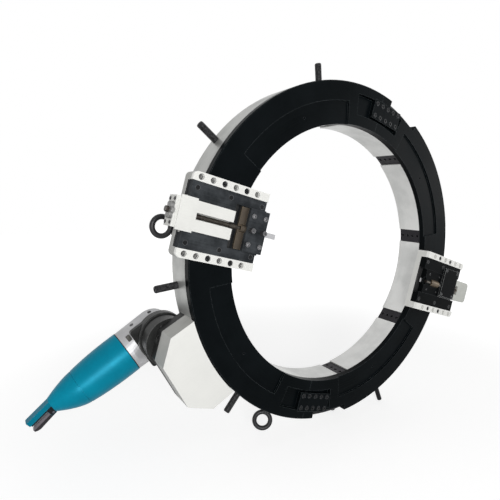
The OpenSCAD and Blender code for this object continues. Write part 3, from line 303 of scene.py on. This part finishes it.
# Bored: 1 inside a radius round the pipe axis.
bored, source, drain = node_group(
    "bored",
    [("Position", "NodeSocketVector", None), ("Edge", "NodeSocketFloat", bore_edge)],
    ["Share"],
)
split = bored.nodes.new("ShaderNodeSeparateXYZ")
bored.links.new(source.outputs["Position"], split.inputs[0])
radius = ring_radius(bored, split.outputs)
bored.links.new(sum_node(bored, "LESS_THAN", radius, source.outputs["Edge"]), drain.inputs["Share"])

# Shaded sunk floors: 1 on faces that look to the tool side from below a level. The finishes paint shade
# there, on floors sunk in recesses and behind other parts.
least_facing = 0.8
shaded_sunk_floors, source, drain = node_group(
    "shaded_sunk_floors",
    [
        ("Position", "NodeSocketVector", None),
        ("Facing", "NodeSocketVector", None),
        ("Edge", "NodeSocketFloat", shaded_below),
    ],
    ["Share"],
)
split = shaded_sunk_floors.nodes.new("ShaderNodeSeparateXYZ")
shaded_sunk_floors.links.new(source.outputs["Facing"], split.inputs[0])
looks_out = sum_node(shaded_sunk_floors, "LESS_THAN", split.outputs["Y"], -least_facing)
split = shaded_sunk_floors.nodes.new("ShaderNodeSeparateXYZ")
shaded_sunk_floors.links.new(source.outputs["Position"], split.inputs[0])
height = sum_node(shaded_sunk_floors, "MULTIPLY", split.outputs["Y"], -1.0)
lies_low = sum_node(shaded_sunk_floors, "LESS_THAN", height, source.outputs["Edge"])
shaded_sunk_floors.links.new(sum_node(shaded_sunk_floors, "MULTIPLY", looks_out, lies_low), drain.inputs["Share"])


def finish(name, colour, smudged, wear_and_glint_tone, metal, rough, marks, fineness,
           depth=0.1, gloss=0.5, spread=0.1, patch=14.0, reach=0.001, turn=0.0, stretches=()):
    """A metal or paint finish: colour drifting to its smudged tone, marks and lighter edges, which are
    rubbed wear and on some finishes also a painted glint.

    A stretch is a mask group, its values, and the colour and smudged tone that hold there.
    """
    streak_gain = 0.55
    smoothest = 0.05
    mark_height = 0.0004
    material = bpy.data.materials.new(name)
    material.use_nodes = True
    tree = material.node_tree
    surface = tree.nodes["Principled BSDF"]
    surface.inputs["Metallic"].default_value = metal
    surface.inputs["Specular IOR Level"].default_value = gloss
    place = tree.nodes.new("ShaderNodeTexCoord")

    def use(group, output, **values):
        """One output of a group, fed with the place and facing that it asks for."""
        node = tree.nodes.new("ShaderNodeGroup")
        node.node_tree = group
        for title, read in (("Position", "Object"), ("Facing", "Normal")):
            if title in node.inputs:
                tree.links.new(place.outputs[read], node.inputs[title])
        for title, value in values.items():
            node.inputs[title].default_value = value
        return node.outputs[output]

    if marks is cutter_marks:
        lines = use(marks, "Marks", Fineness=fineness, Turn=math.radians(turn))
    else:
        lines = use(marks, "Marks", Fineness=fineness)
    smudge = use(handling, "Smudge", Patch=patch)
    wear_and_glint = use(wear_and_glint_edges, "WearAndGlint", Reach=reach)

    def blend(share, first, second):
        """A colour between two others. A Mix node numbers its colour sockets 6, 7 and 2."""
        colour_a, colour_b, colour_out = 6, 7, 2
        node = tree.nodes.new("ShaderNodeMix")
        node.data_type = "RGBA"
        tree.links.new(share, node.inputs["Factor"])
        for socket, value in ((node.inputs[colour_a], first), (node.inputs[colour_b], second)):
            if isinstance(value, tuple):
                socket.default_value = (*value, 1.0)
            else:
                tree.links.new(value, socket)
        return node.outputs[colour_out]

    streak = sum_node(tree, "MULTIPLY", sum_node(tree, "ADD", smudge, lines), streak_gain)
    streak = sum_node(tree, "MINIMUM", streak, 1.0)
    tone = blend(streak, colour, smudged)
    for group, values, second, second_smudged in stretches:
        tone = blend(use(group, "Share", **values), tone, blend(streak, second, second_smudged))
    tree.links.new(blend(wear_and_glint, tone, wear_and_glint_tone), surface.inputs["Base Color"])
    dull = tree.nodes.new("ShaderNodeMapRange")
    dull.inputs["To Min"].default_value = max(smoothest, rough - spread)
    dull.inputs["To Max"].default_value = min(1.0, rough + spread)
    mixed = sum_node(tree, "MULTIPLY", sum_node(tree, "ADD", lines, smudge), 0.5)
    tree.links.new(mixed, dull.inputs["Value"])
    tree.links.new(dull.outputs["Result"], surface.inputs["Roughness"])
    bump = tree.nodes.new("ShaderNodeBump")
    bump.inputs["Strength"].default_value = depth
    bump.inputs["Distance"].default_value = mark_height
    tree.links.new(lines, bump.inputs["Height"])
    tree.links.new(bump.outputs["Normal"], surface.inputs["Normal"])
    return material


def dress(material, *names):
    """Gives CAD nodes a finish."""
    for name in names:
        mesh = nodes[name].data
        if not mesh.materials:
            mesh.materials.append(material)
        for slot in range(len(mesh.materials)):
            mesh.materials[slot] = material


# The rim is darker and the bore lighter, as painted shade and painted light on one turned finish. The front
# face, behind the face ring and seen in the joint pockets, is painted near black as shade.
turned_aluminium = finish(
    "turned_aluminium", (0.45, 0.455, 0.44), (0.34, 0.345, 0.335), (0.66, 0.66, 0.65),
    metal=0.6, rough=0.42, marks=lathe_marks, fineness=700.0, depth=0.25, reach=0.0015,
    stretches=[
        (bored, {"Edge": bore_edge}, (0.72, 0.72, 0.705), (0.55, 0.555, 0.545)),
        (shaded_sunk_floors, {"Edge": shaded_below}, (0.006, 0.0065, 0.007), (0.014, 0.0145, 0.015)),
    ],
)
dress(turned_aluminium, "frame_left", "frame_right")
# Their edges are lighter, partly rubbed wear and partly a painted glint.
worn_glint_screws = finish(
    "worn_glint_screws", (0.008, 0.008, 0.009), (0.03, 0.03, 0.032), (0.75, 0.75, 0.76),
    metal=0.2, rough=0.34, marks=skin, fineness=1800.0, gloss=0.25, reach=0.002,
)
dress(worn_glint_screws, "frame_screws")

# Clamp feet and jacking studs. Eight blackened steel pads slide in pockets of the bore, and a
# threaded stud with a socket in its tip, let in from the rim, drives each one against the pipe.
foot_first = 5.0
foot_step = 45.0
stud_level = -0.014
stud_nose = 0.427
stud_shoulder = 0.4363
rim_radius = 0.505
stud_lengths = (0.061, 0.042, 0.061, 0.061, 0.061, 0.061, 0.042, 0.061)
nose_radius = 0.007
stud_core = 0.0088
stud_crest = 0.00995
stud_pitch = 0.0025
stud_socket = 0.0055
socket_depth = 0.009
drill_point = 0.001
thread_gap = 0.001
nose_break = 0.001
tip_break = 0.0012

oiled_feet = finish(
    "oiled_feet", (0.009, 0.0085, 0.0105), (0.026, 0.024, 0.029), (0.14, 0.14, 0.145),
    metal=0.2, rough=0.42, marks=skin, fineness=1400.0, gloss=0.2, reach=0.0012,
)
dress(oiled_feet, *[f"clamp_foot_{k}" for k in range(1, 9)])
stud_black = finish(
    "stud_black", (0.005, 0.005, 0.0055), (0.012, 0.012, 0.013), (0.12, 0.12, 0.125),
    metal=0.0, rough=0.3, marks=skin, fineness=2200.0, gloss=0.12, reach=0.0008,
)


def seat(degrees, height=0.0):
    """Axes on the ring at an angle: x outwards, y round the ring, z towards the tool side."""
    turn = math.radians(degrees)
    return Matrix((
        (math.cos(turn), -math.sin(turn), 0.0, 0.0),
        (0.0, 0.0, -1.0, -height),
        (math.sin(turn), math.cos(turn), 0.0, 0.0),
        (0.0, 0.0, 0.0, 1.0),
    ))


def lathe(shape, profile, steps, place=None):
    """Turns a profile of (x, radius) points round the x axis and returns its vertices."""
    old = set(shape.verts)
    line = [shape.verts.new((x, 0.0, r)) for x, r in profile]
    edges = [shape.edges.new(pair) for pair in zip(line, line[1:])]
    bmesh.ops.spin(shape, geom=line + edges, cent=(0.0, 0.0, 0.0), axis=(1.0, 0.0, 0.0),
                   dvec=(0.0, 0.0, 0.0), angle=math.tau, steps=steps, use_merge=True)
    bmesh.ops.remove_doubles(shape, verts=[v for v in shape.verts if v not in old], dist=1e-6)
    turned = [v for v in shape.verts if v not in old]
    faces = {face for vert in turned for face in vert.link_faces}
    bmesh.ops.recalc_face_normals(shape, faces=list(faces))
    if place is not None:
        bmesh.ops.transform(shape, matrix=place, verts=turned)
    return turned


def broach(verts, radius, flats=6):
    """Squares a turned hole of that radius to flats sides, for a key."""
    side = math.tau / flats
    near = 1e-5
    for vert in verts:
        reach = math.hypot(vert.co.y, vert.co.z)
        if abs(reach - radius) < near:
            off = math.atan2(vert.co.z, vert.co.y) % side - side / 2
            fit = math.cos(side / 2) / math.cos(off)
            vert.co.y *= fit
            vert.co.z *= fit


def cut_thread(shape, start, end, core, crest, pitch, steps=14, hand=1):
    """Winds a closed vee ridge along the x axis, with hand -1 for a left-hand thread.

    The ridge's feet lie a little below the core. Its corners are given in shares of the pitch.
    """
    turns = (end - start) / pitch - 1
    count = int(turns * steps)
    root = core - 0.1 * pitch
    corners = ((0.06, root), (0.44, crest), (0.56, crest), (0.94, root))
    ridge = [shape.verts.new((start + share * pitch, 0.0, r)) for share, r in corners]
    edges = [shape.edges.new((ridge[j], ridge[j - 1])) for j in range(len(ridge))]
    wound = bmesh.ops.spin(shape, geom=ridge + edges, cent=(0.0, 0.0, 0.0), axis=(1.0, 0.0, 0.0),
                           dvec=(turns * pitch / count, 0.0, 0.0), angle=hand * math.tau * turns,
                           steps=count, use_merge=False)
    last = [item for item in wound["geom_last"] if isinstance(item, bmesh.types.BMEdge)]
    bmesh.ops.contextual_create(shape, geom=edges)
    bmesh.ops.contextual_create(shape, geom=last)
    bmesh.ops.recalc_face_normals(shape, faces=shape.faces)


def keep(name, shape, material, body, finish_slot, *stands_for, crease=35.0):
    """Makes a bmesh into a piece that rides on a body."""
    mesh = bpy.data.meshes.new(name)
    shape.to_mesh(mesh)
    shape.free()
    mesh.materials.append(material)
    mesh.shade_smooth()
    mesh.set_sharp_from_angle(angle=math.radians(crease))
    piece = bpy.data.objects.new(name, mesh)
    scene.collection.objects.link(piece)
    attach(piece, body)
    if stands_for:
        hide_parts(*stands_for)


for k, stud_length in enumerate(stud_lengths, 1):
    stud_tip = rim_radius + stud_length
    shape = bmesh.new()
    socket_floor = stud_tip - socket_depth
    cut_thread(shape, stud_shoulder + thread_gap, stud_tip - thread_gap, stud_core, stud_crest, stud_pitch)
    bar = lathe(shape, [
        (stud_nose, 0.0), (stud_nose, nose_radius - nose_break), (stud_nose + nose_break, nose_radius),
        (stud_shoulder, nose_radius), (stud_shoulder, stud_core), (stud_tip - tip_break, stud_core),
        (stud_tip, stud_core - tip_break), (stud_tip, stud_socket), (socket_floor, stud_socket),
        (socket_floor - drill_point, 0.0),
    ], steps=24)
    broach(bar, stud_socket)
    bmesh.ops.transform(shape, matrix=seat(foot_first + foot_step * (k - 1), stud_level), verts=shape.verts)
    keep(f"threaded_stud_{k}", shape, stud_black, f"stud_{k}", "black_steel", f"jack_stud_{k}")

# Lifting eyes and trip pin. Two forged eyebolts screwed into the rim carry the machine, and a
# straight pin in the rim below trips the star wheels once in every turn.
forged_eye = finish(
    "forged_eye", (0.012, 0.012, 0.0135), (0.032, 0.032, 0.034), (0.2, 0.2, 0.2),
    metal=0.1, rough=0.34, marks=skin, fineness=700.0, depth=0.3, gloss=0.22,
)
dress(forged_eye, "eyebolts")
dress(stud_black, "trip_pin")

# Guide rollers. Four hardened rollers with vee grooves turn on shouldered axles in the gear
# channel and carry the rotating ring by the ridge inside its gear.
ground_steel = finish(
    "ground_steel", (0.50, 0.50, 0.51), (0.36, 0.36, 0.37), (0.70, 0.70, 0.70),
    metal=1.0, rough=0.3, marks=skin, fineness=2000.0, depth=0.05,
)
axle_steel = finish(
    "axle_steel", (0.10, 0.10, 0.11), (0.15, 0.15, 0.155), (0.40, 0.40, 0.40),
    metal=0.8, rough=0.35, marks=skin, fineness=1600.0,
)
dress(ground_steel, *[f"guide_roller_{k}" for k in range(1, 5)])
dress(axle_steel, "roller_axles")

# Gearbox. A milled and pale anodised aluminium case with clipped corners hangs on the rim over
# a black steel back plate. Inside it, the pinion drives the ring gear through an idler.
gearbox_angle = 207.6
face_margin = 0.0003

# Past a plane: 1 where a place lies beyond a distance along one direction.
past_plane, source, drain = node_group(
    "past_plane",
    [
        ("Position", "NodeSocketVector", None),
        ("Direction", "NodeSocketVector", (1.0, 0.0, 0.0)),
        ("Edge", "NodeSocketFloat", 0.0),
    ],
    ["Share"],
)
along = past_plane.nodes.new("ShaderNodeVectorMath")
along.operation = "DOT_PRODUCT"
past_plane.links.new(source.outputs["Position"], along.inputs[0])
past_plane.links.new(source.outputs["Direction"], along.inputs[1])
beyond = sum_node(past_plane, "GREATER_THAN", along.outputs["Value"], source.outputs["Edge"])
past_plane.links.new(beyond, drain.inputs["Share"])
to_tool_side = (0.0, -1.0, 0.0)
case_front = -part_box("gearbox_housing")[0][1] - face_margin
# The case's front is pale and its sides and clipped corners are darker, partly as bare brushed metal and
# partly as painted shade.
pale_case = finish(
    "pale_case", (0.50, 0.50, 0.475), (0.36, 0.36, 0.345), (0.74, 0.74, 0.72),
    metal=0.1, rough=0.5, marks=cutter_marks, fineness=500.0, depth=0.2, gloss=0.3,
    patch=9.0, reach=0.0016, turn=gearbox_angle,
    stretches=[
        (past_plane, {"Direction": to_tool_side, "Edge": case_front},
         (0.73, 0.73, 0.70), (0.67, 0.67, 0.645)),
    ],
)
dress(pale_case, "gearbox_housing")
black_plate = finish(
    "black_plate", (0.010, 0.0103, 0.010), (0.026, 0.0265, 0.026), (0.14, 0.14, 0.14),
    metal=0.0, rough=0.45, marks=skin, fineness=900.0, gloss=0.12, reach=0.0012,
)
dress(black_plate, "gearbox_back_plate")
dress(ground_steel, "idler_axle", "idler_gear", "drive_pinion")

# Reducer. A turned and blackened steel barrel holds the planetary stage, closed by a collar
# whose flange, square behind, carries the motor. Two set screws lock it.
reducer_black = finish(
    "reducer_black", (0.011, 0.0113, 0.011), (0.034, 0.0345, 0.034), (0.2, 0.2, 0.195),
    metal=0.0, rough=0.34, marks=skin, fineness=1200.0, gloss=0.16, reach=0.0014,
)
dress(reducer_black, "reducer_housing", "reducer_collar")

# Motor. A die-cast gear case, a moulded teal housing with a parting groove that bends off to the
# neck, a rear handle of the same moulding, and a pressed lever for the switch.
shaft_in_case = Vector((0.55301, -0.06393, 0.0))
motor_angle = 210.0
motor_level = -0.150
shaft_at = seat(gearbox_angle) @ shaft_in_case
motor_seat = Matrix.Translation(shaft_at) @ seat(motor_angle, motor_level)
case_end = 0.096
housing_length = 0.222
front_radius = 0.060
front_break = 0.002
front_lead = 0.0018
front_bow = 2.4
rear_bow = 1.5
bow_steps = 24
seam_radius = 0.0505
seam_at = 0.143
seam_step = 0.0005
neck_radius = 0.021
neck_drop = 0.009
groove_width = 0.0022
groove_depth = 0.0016
groove_floor = (-0.3, 0.3)
handle_tilt = math.radians(9.7)
grip_low = 0.0049
lever_highlight_band = 0.0175

cast_case = finish(
    "cast_case", (0.50, 0.50, 0.51), (0.39, 0.39, 0.40), (0.72, 0.72, 0.72),
    metal=0.45, rough=0.42, marks=skin, fineness=420.0, depth=0.35, patch=20.0, reach=0.0014,
)
dress(cast_case, "motor_gear_case")
teal_moulding = finish(
    "teal_moulding", (0.0, 0.235, 0.35), (0.0, 0.18, 0.275), (0.01, 0.30, 0.43),
    metal=0.15, rough=0.36, marks=skin, fineness=1500.0, depth=0.08, gloss=0.08, spread=0.05,
)

handle_seat = (
    motor_seat @ Matrix.Translation((case_end + housing_length, -2 * neck_drop, 0.0))
    @ Matrix.Rotation(handle_tilt, 4, "Z")
)
to_lever = handle_seat.to_3x3() @ Vector((0.0, 1.0, 0.0))
# Beyond this level the handle's band beside the lever is painted near black, as the shade in the gap above
# the lever.
gap_shade_edge = to_lever.dot(handle_seat.translation) + grip_low
grip_teal = finish(
    "grip_teal", (0.0, 0.18, 0.275), (0.0, 0.14, 0.215), (0.01, 0.28, 0.40),
    metal=0.15, rough=0.36, marks=skin, fineness=1500.0, depth=0.08, gloss=0.08, spread=0.05,
    stretches=[
        (past_plane, {"Direction": to_lever, "Edge": gap_shade_edge},
         (0.008, 0.008, 0.009), (0.02, 0.019, 0.022)),
    ],
)
dress(grip_teal, "motor_handle")
# A strip of the lever beside the handle is painted a lighter purple grey as a highlight; the rest is near
# black.
lever_steel = finish(
    "lever_steel", (0.012, 0.0115, 0.013), (0.03, 0.028, 0.032), (0.2, 0.18, 0.2),
    metal=0.1, rough=0.36, marks=skin, fineness=1300.0, gloss=0.2, reach=0.0012,
    stretches=[
        (past_plane, {"Direction": -to_lever, "Edge": -gap_shade_edge - lever_highlight_band},
         (0.17, 0.15, 0.17), (0.1, 0.09, 0.1)),
    ],
)
dress(lever_steel, "switch_lever")


def barrel_radius(along):
    """Radius of the housing's front half, which bows in to the parting seam."""
    return front_radius + (seam_radius - front_radius) * (along / seam_at) ** front_bow


def rear_close(along):
    """How far the rear half has closed in to the neck, from 0 to 1."""
    return max(0.0, (along - seam_at) / (housing_length - seam_at)) ** rear_bow


shape = bmesh.new()
profile = [
    (case_end, 0.0), (case_end, front_radius - front_break), (case_end + front_lead, front_radius),
]
for step in range(1, bow_steps + 1):
    along = (seam_at - groove_width / 2) * step / bow_steps
    profile.append((case_end + along, barrel_radius(along)))
for slip in groove_floor:
    profile.append((case_end + seam_at + slip * groove_width, seam_radius - groove_depth))
for step in range(bow_steps + 1):
    along = seam_at + groove_width / 2 + (housing_length - seam_at - groove_width / 2) * step / bow_steps
    close = rear_close(along)
    profile.append((case_end + along, (seam_radius - seam_step) * (1 - close) + neck_radius * close))
profile.append((case_end + housing_length, 0.0))
for vert in lathe(shape, profile, steps=72):
    vert.co.y -= neck_drop * rear_close(vert.co.x - case_end)
bmesh.ops.transform(shape, matrix=motor_seat, verts=shape.verts)
keep("moulded_housing", shape, teal_moulding, "frame", "motor_shell", "motor_housing")

# Motor details. A black gasket seals the housing to the gear case, a grey lock button stands
# behind the flange, and socket screws close the case along its upper edge.
gasket_black = finish(
    "gasket_black", (0.012, 0.012, 0.013), (0.02, 0.02, 0.021), (0.05, 0.05, 0.05),
    metal=0.0, rough=0.6, marks=skin, fineness=2000.0, gloss=0.2,
)
gasket_inside = 0.0575
gasket_front = 0.0594
gasket_rear = 0.0598
gasket_starts = case_end - 0.0009
gasket_ends = case_end + 0.0009
shape = bmesh.new()
lathe(shape, [
    (gasket_starts, gasket_inside), (gasket_starts, gasket_front), (gasket_ends, gasket_rear),
    (gasket_ends, gasket_inside), (gasket_starts, gasket_inside),
], steps=72, place=motor_seat)
keep("case_gasket", shape, gasket_black, "frame", "black_steel")

button_grey = finish(
    "button_grey", (0.09, 0.088, 0.08), (0.05, 0.048, 0.044), (0.26, 0.26, 0.25),
    metal=0.2, rough=0.45, marks=skin, fineness=900.0, gloss=0.3, reach=0.0016,
)
button_size = (0.011, 0.019, 0.012)
button_round = 0.0018
button_seat = motor_seat @ Matrix.Translation((0.0735, -0.044, 0.0395))
shape = bmesh.new()
bmesh.ops.create_cube(shape, size=1.0)
bmesh.ops.scale(shape, verts=shape.verts, vec=button_size)
bmesh.ops.bevel(shape, geom=shape.edges[:], offset=button_round, affect="EDGES", segments=3,
                profile=0.5, material=-1)
bmesh.ops.transform(shape, matrix=button_seat, verts=shape.verts)
keep("lock_button", shape, button_grey, "frame", "cast_silver")


def cap_head(shape, place, radius, height, socket):
    """A socket screw's head that stands along x from its seat."""
    let_in = 0.001
    edge_break = 0.0006
    socket_point = 0.0004
    socket_floor = height - 0.6 * radius
    head = lathe(shape, [
        (-let_in, 0.0), (-let_in, radius), (height - edge_break, radius), (height, radius - edge_break),
        (height, socket), (socket_floor, socket), (socket_floor - socket_point, 0.0),
    ], steps=24)
    broach(head, socket)
    bmesh.ops.transform(shape, matrix=place, verts=head)


# Their edges are lighter, partly rubbed wear and partly a painted glint.
black_screws = finish(
    "black_screws", (0.008, 0.008, 0.009), (0.022, 0.022, 0.024), (0.30, 0.30, 0.31),
    metal=0.2, rough=0.38, marks=skin, fineness=1800.0, gloss=0.25, reach=0.0009,
)
case_screws = (((0.046, -0.0562, 0.004), -90.0), ((-0.014, -0.0530, -0.004), -105.0))
shape = bmesh.new()
for place, turn in case_screws:
    screw_seat = motor_seat @ Matrix.Translation(place) @ Matrix.Rotation(math.radians(turn), 4, "Z")
    cap_head(shape, screw_seat, radius=0.0056, height=0.0022, socket=0.003)
keep("case_screws", shape, black_screws, "frame", "black_steel")

# Face ring and ring gear. The two rotating halves are turned steel, blackened, with shallow
# relieved stretches along the bore. The gear halves are screwed to their backs.
# Its edges get a lighter tone, partly wear and partly a painted highlight along the relieved steps.
face_black = finish(
    "face_black", (0.0010, 0.0019, 0.0023), (0.0040, 0.0056, 0.0066), (0.07, 0.08, 0.085),
    metal=0.0, rough=0.32, marks=lathe_marks, fineness=520.0, depth=0.16, gloss=0.025,
    patch=6.0, reach=0.0014,
)
dress(face_black, "face_ring_left", "face_ring_right")
gear_steel = finish(
    "gear_steel", (0.12, 0.12, 0.125), (0.18, 0.18, 0.185), (0.42, 0.42, 0.42),
    metal=0.85, rough=0.38, marks=lathe_marks, fineness=800.0,
)
dress(gear_steel, "ring_gear_left", "ring_gear_right")

# Joint plates. Black steel bars let into the face ring bridge its two splits, each held by ten
# oiled cap screws. Screws of the same batch hold the rails, the gibs and the ring gear.
dress(face_black, "joint_plates")
# Their edges are lighter, partly rubbed wear and partly a painted glint.
oiled_screws = finish(
    "oiled_screws", (0.004, 0.0045, 0.005), (0.012, 0.0125, 0.0135), (0.15, 0.155, 0.16),
    metal=0.1, rough=0.36, marks=skin, fineness=1800.0, gloss=0.12, reach=0.0009,
)
dress(oiled_screws, "ring_screws")

# Tool slides. Each base is a milled, pale anodised aluminium channel bolted to the face ring,
# with black steel gibs screwed down beside its rails. The second slide's gibs, block and cover are darker.
slide_angles = {"a": 164.5, "b": 342.5}

# Levels just below the rails' tops and just above the floors of their counterbores, and the place
# along slide b where the screw housing comes out from under the cover plate.
rail_top = 0.1097
counterbore_floor = 0.1003
cover_edge = 0.5295

# Base tones for the faces below the rails' tops, sides and ends among them: darker on the first slide as
# painted shade, lighter on the second as painted light.
painted_side_shading = {
    "a": ((0.46, 0.46, 0.44), (0.34, 0.34, 0.325)),
    "b": ((0.72, 0.72, 0.69), (0.64, 0.64, 0.615)),
}
gib_tones = {
    "a": ((0.006, 0.0070, 0.0083), (0.052, 0.057, 0.062)),
    "b": ((0.0012, 0.0017, 0.0019), (0.0050, 0.0058, 0.0062)),
}
gib_gloss = {"a": 0.03, "b": 0.018}
for side, angle in slide_angles.items():
    # The counterbore walls just below the rails' tops are painted brighter than the tops, a painted
    # highlight of their lit side, and the floors below the rails' tops that look to the tool side are
    # painted near black as shade.
    pale_base = finish(
        f"pale_base_{side}", *painted_side_shading[side], (0.82, 0.82, 0.81),
        metal=0.1, rough=0.46, marks=cutter_marks, fineness=600.0, depth=0.12, gloss=0.3,
        patch=11.0, reach=0.0014, turn=angle,
        stretches=[
            (past_plane, {"Direction": to_tool_side, "Edge": counterbore_floor},
             (0.92, 0.92, 0.89), (0.86, 0.86, 0.83)),
            (past_plane, {"Direction": to_tool_side, "Edge": rail_top},
             (0.72, 0.72, 0.69), (0.66, 0.66, 0.635)),
            (shaded_sunk_floors, {"Edge": rail_top}, (0.016, 0.016, 0.0165), (0.04, 0.04, 0.041)),
        ],
    )
    dress(pale_base, f"slide_base_{side}")
    slate_gib = finish(
        f"slate_gib_{side}", *gib_tones[side], (0.06, 0.064, 0.068),
        metal=0.0, rough=0.42, marks=cutter_marks, fineness=420.0, depth=0.12, gloss=gib_gloss[side],
        patch=26.0, reach=0.0012, turn=angle,
    )
    dress(slate_gib, f"gib_plates_{side}", f"tool_block_{side}")
edge_rubbed_cover = finish(
    "edge_rubbed_cover", *gib_tones["b"], (0.3, 0.31, 0.31),
    metal=0.0, rough=0.42, marks=cutter_marks, fineness=420.0, depth=0.12, gloss=0.02,
    patch=26.0, reach=0.0028, turn=slide_angles["b"],
)
dress(edge_rubbed_cover, "cover_plate_b")
white_housing = finish(
    "white_housing", (0.71, 0.71, 0.68), (0.63, 0.63, 0.605), (0.82, 0.82, 0.81),
    metal=0.0, rough=0.5, marks=cutter_marks, fineness=600.0, depth=0.1, gloss=0.3,
    patch=12.0, reach=0.0014, turn=slide_angles["a"],
)
dress(white_housing, "screw_housing_a")
inwards = -(seat(slide_angles["b"]).to_3x3() @ Vector((1.0, 0.0, 0.0)))
# Inwards of the cover plate's edge, where the housing runs in under the plate, it is painted near black as
# shade.
housing_shaded_under_cover = finish(
    "housing_shaded_under_cover", (0.50, 0.51, 0.475), (0.43, 0.44, 0.41), (0.6, 0.6, 0.59),
    metal=0.0, rough=0.5, marks=cutter_marks, fineness=600.0, depth=0.1, gloss=0.3,
    patch=12.0, reach=0.0008, turn=slide_angles["b"],
    stretches=[
        (past_plane, {"Direction": inwards, "Edge": -cover_edge},
         (0.004, 0.005, 0.0053), (0.012, 0.0135, 0.014)),
    ],
)
dress(housing_shaded_under_cover, "screw_housing_b")

# Slide screws. Socket screws clamp the first slide's tool cap, two of them tall, and its end plate.
# On the second slide they hold the cover plate and the tool block.
cap_screw_steel = finish(
    "cap_screw_steel", (0.05, 0.05, 0.053), (0.10, 0.10, 0.105), (0.52, 0.52, 0.53),
    metal=0.5, rough=0.32, marks=skin, fineness=1800.0, gloss=0.4, reach=0.0012,
)


def on_slide(side, u, v, z):
    """Seat of a screw that stands out of a slide at u along it, v across it and level z."""
    return seat(slide_angles[side]) @ Matrix.Translation((u, v, z)) @ Matrix.Rotation(-math.pi / 2, 4, "Y")


cap_level = 0.113
shape = bmesh.new()
for u in (0.338, 0.372):
    for v, height in ((-0.0355, 0.0032), (0.0355, 0.0032), (0.0, 0.014)):
        cap_head(shape, on_slide("a", u, v, cap_level), radius=0.0064, height=height, socket=0.0033)
keep("tool_cap_screws", shape, cap_screw_steel, "tool_a", "black_steel")

end_plate_at = 0.576
shape = bmesh.new()
for v in (-0.027, 0.027):
    for z in (0.073, 0.101):
        plate_seat = seat(slide_angles["a"]) @ Matrix.Translation((end_plate_at, v, z))
        cap_head(shape, plate_seat, radius=0.0042, height=0.002, socket=0.0022)
keep("end_plate_screws", shape, black_screws, "rotor", "black_steel")

cover_level = 0.1085
shape = bmesh.new()
for u in (0.458, 0.5215):
    for v in (-0.028, 0.056):
        cap_head(shape, on_slide("b", u, v, cover_level), radius=0.0043, height=0.0036, socket=0.0022)
keep("cover_screws", shape, black_screws, "rotor", "black_steel")

block_level = 0.0985
shape = bmesh.new()
for u in (0.382, 0.4385):
    for v in (-0.027, 0.027):
        cap_head(shape, on_slide("b", u, v, block_level), radius=0.0038, height=0.0036, socket=0.002)
keep("tool_block_screws", shape, black_screws, "tool_b", "black_steel")

# Feed. A screw in each slide draws its tool block along by a bronze nut. The star wheel on the
# screw's end strikes the trip pin and turns the screw by one lobe. A parting tool sits below.
bronze = finish(
    "bronze", (0.085, 0.068, 0.05), (0.045, 0.037, 0.029), (0.3, 0.23, 0.15),
    metal=0.5, rough=0.42, marks=skin, fineness=900.0, gloss=0.35, reach=0.001,
)
dress(bronze, "feed_nut_a", "star_wheel_b")
rubbed_bronze = finish(
    "rubbed_bronze", (0.16, 0.12, 0.075), (0.05, 0.038, 0.025), (0.5, 0.4, 0.28),
    metal=0.5, rough=0.36, marks=skin, fineness=900.0, gloss=0.35, reach=0.0014,
)
dress(rubbed_bronze, "feed_nut_b")
star_silver = finish(
    "star_silver", (0.27, 0.27, 0.265), (0.20, 0.20, 0.195), (0.50, 0.50, 0.49),
    metal=0.6, rough=0.42, marks=skin, fineness=1100.0, gloss=0.35,
)
dress(star_silver, "star_wheel_a")
oiled_screw = finish(
    "oiled_screw", (0.018, 0.015, 0.013), (0.04, 0.033, 0.028), (0.16, 0.145, 0.12),
    metal=0.4, rough=0.34, marks=skin, fineness=1600.0, gloss=0.35, reach=0.0007,
)
feed_level = 0.098
feed_radius = 0.006
feed_break = 0.0006
feed_core = 0.0052
feed_crest = 0.00595
feed_pitch = 0.002
left_hand = -1
collar_radius = 0.007
nut_corner = 0.007
nut_face = 0.0067
nut_break = 0.0006

# Along each slide: where the thread starts and ends, the screw's end, its collar and its end nut.
feed_screws = {
    "a": (0.366, 0.506, 0.587, (0.5167, 0.5217), (0.585, 0.593)),
    "b": (0.374, 0.528, 0.605, None, None),
}
for side, (start, thread_end, end, collar, end_nut) in feed_screws.items():
    shape = bmesh.new()
    cut_thread(shape, start, thread_end, feed_core, feed_crest, feed_pitch, hand=left_hand)
    rod = [(start, 0.0), (start, feed_core), (thread_end, feed_core), (thread_end, feed_radius)]
    if collar:
        rod += [(collar[0], feed_radius), (collar[0], collar_radius),
                (collar[1], collar_radius), (collar[1], feed_radius)]
    rod += [(end - feed_break, feed_radius), (end, feed_radius - feed_break), (end, 0.0)]
    lathe(shape, rod, steps=24)
    if end_nut:
        near, far = end_nut
        nut = lathe(shape, [
            (near, 0.0), (near, nut_face), (near + nut_break, nut_corner),
            (far - nut_break, nut_corner), (far, nut_face), (far, 0.0),
        ], steps=24)
        broach(nut, nut_corner)
        broach(nut, nut_face)
    bmesh.ops.transform(shape, matrix=seat(slide_angles[side], feed_level), verts=shape.verts)
    keep(f"threaded_screw_{side}", shape, oiled_screw, f"feed_{side}", "dark_steel", f"feed_screw_{side}")
dress(ground_steel, "tool_bit_a", "tool_bit_b")
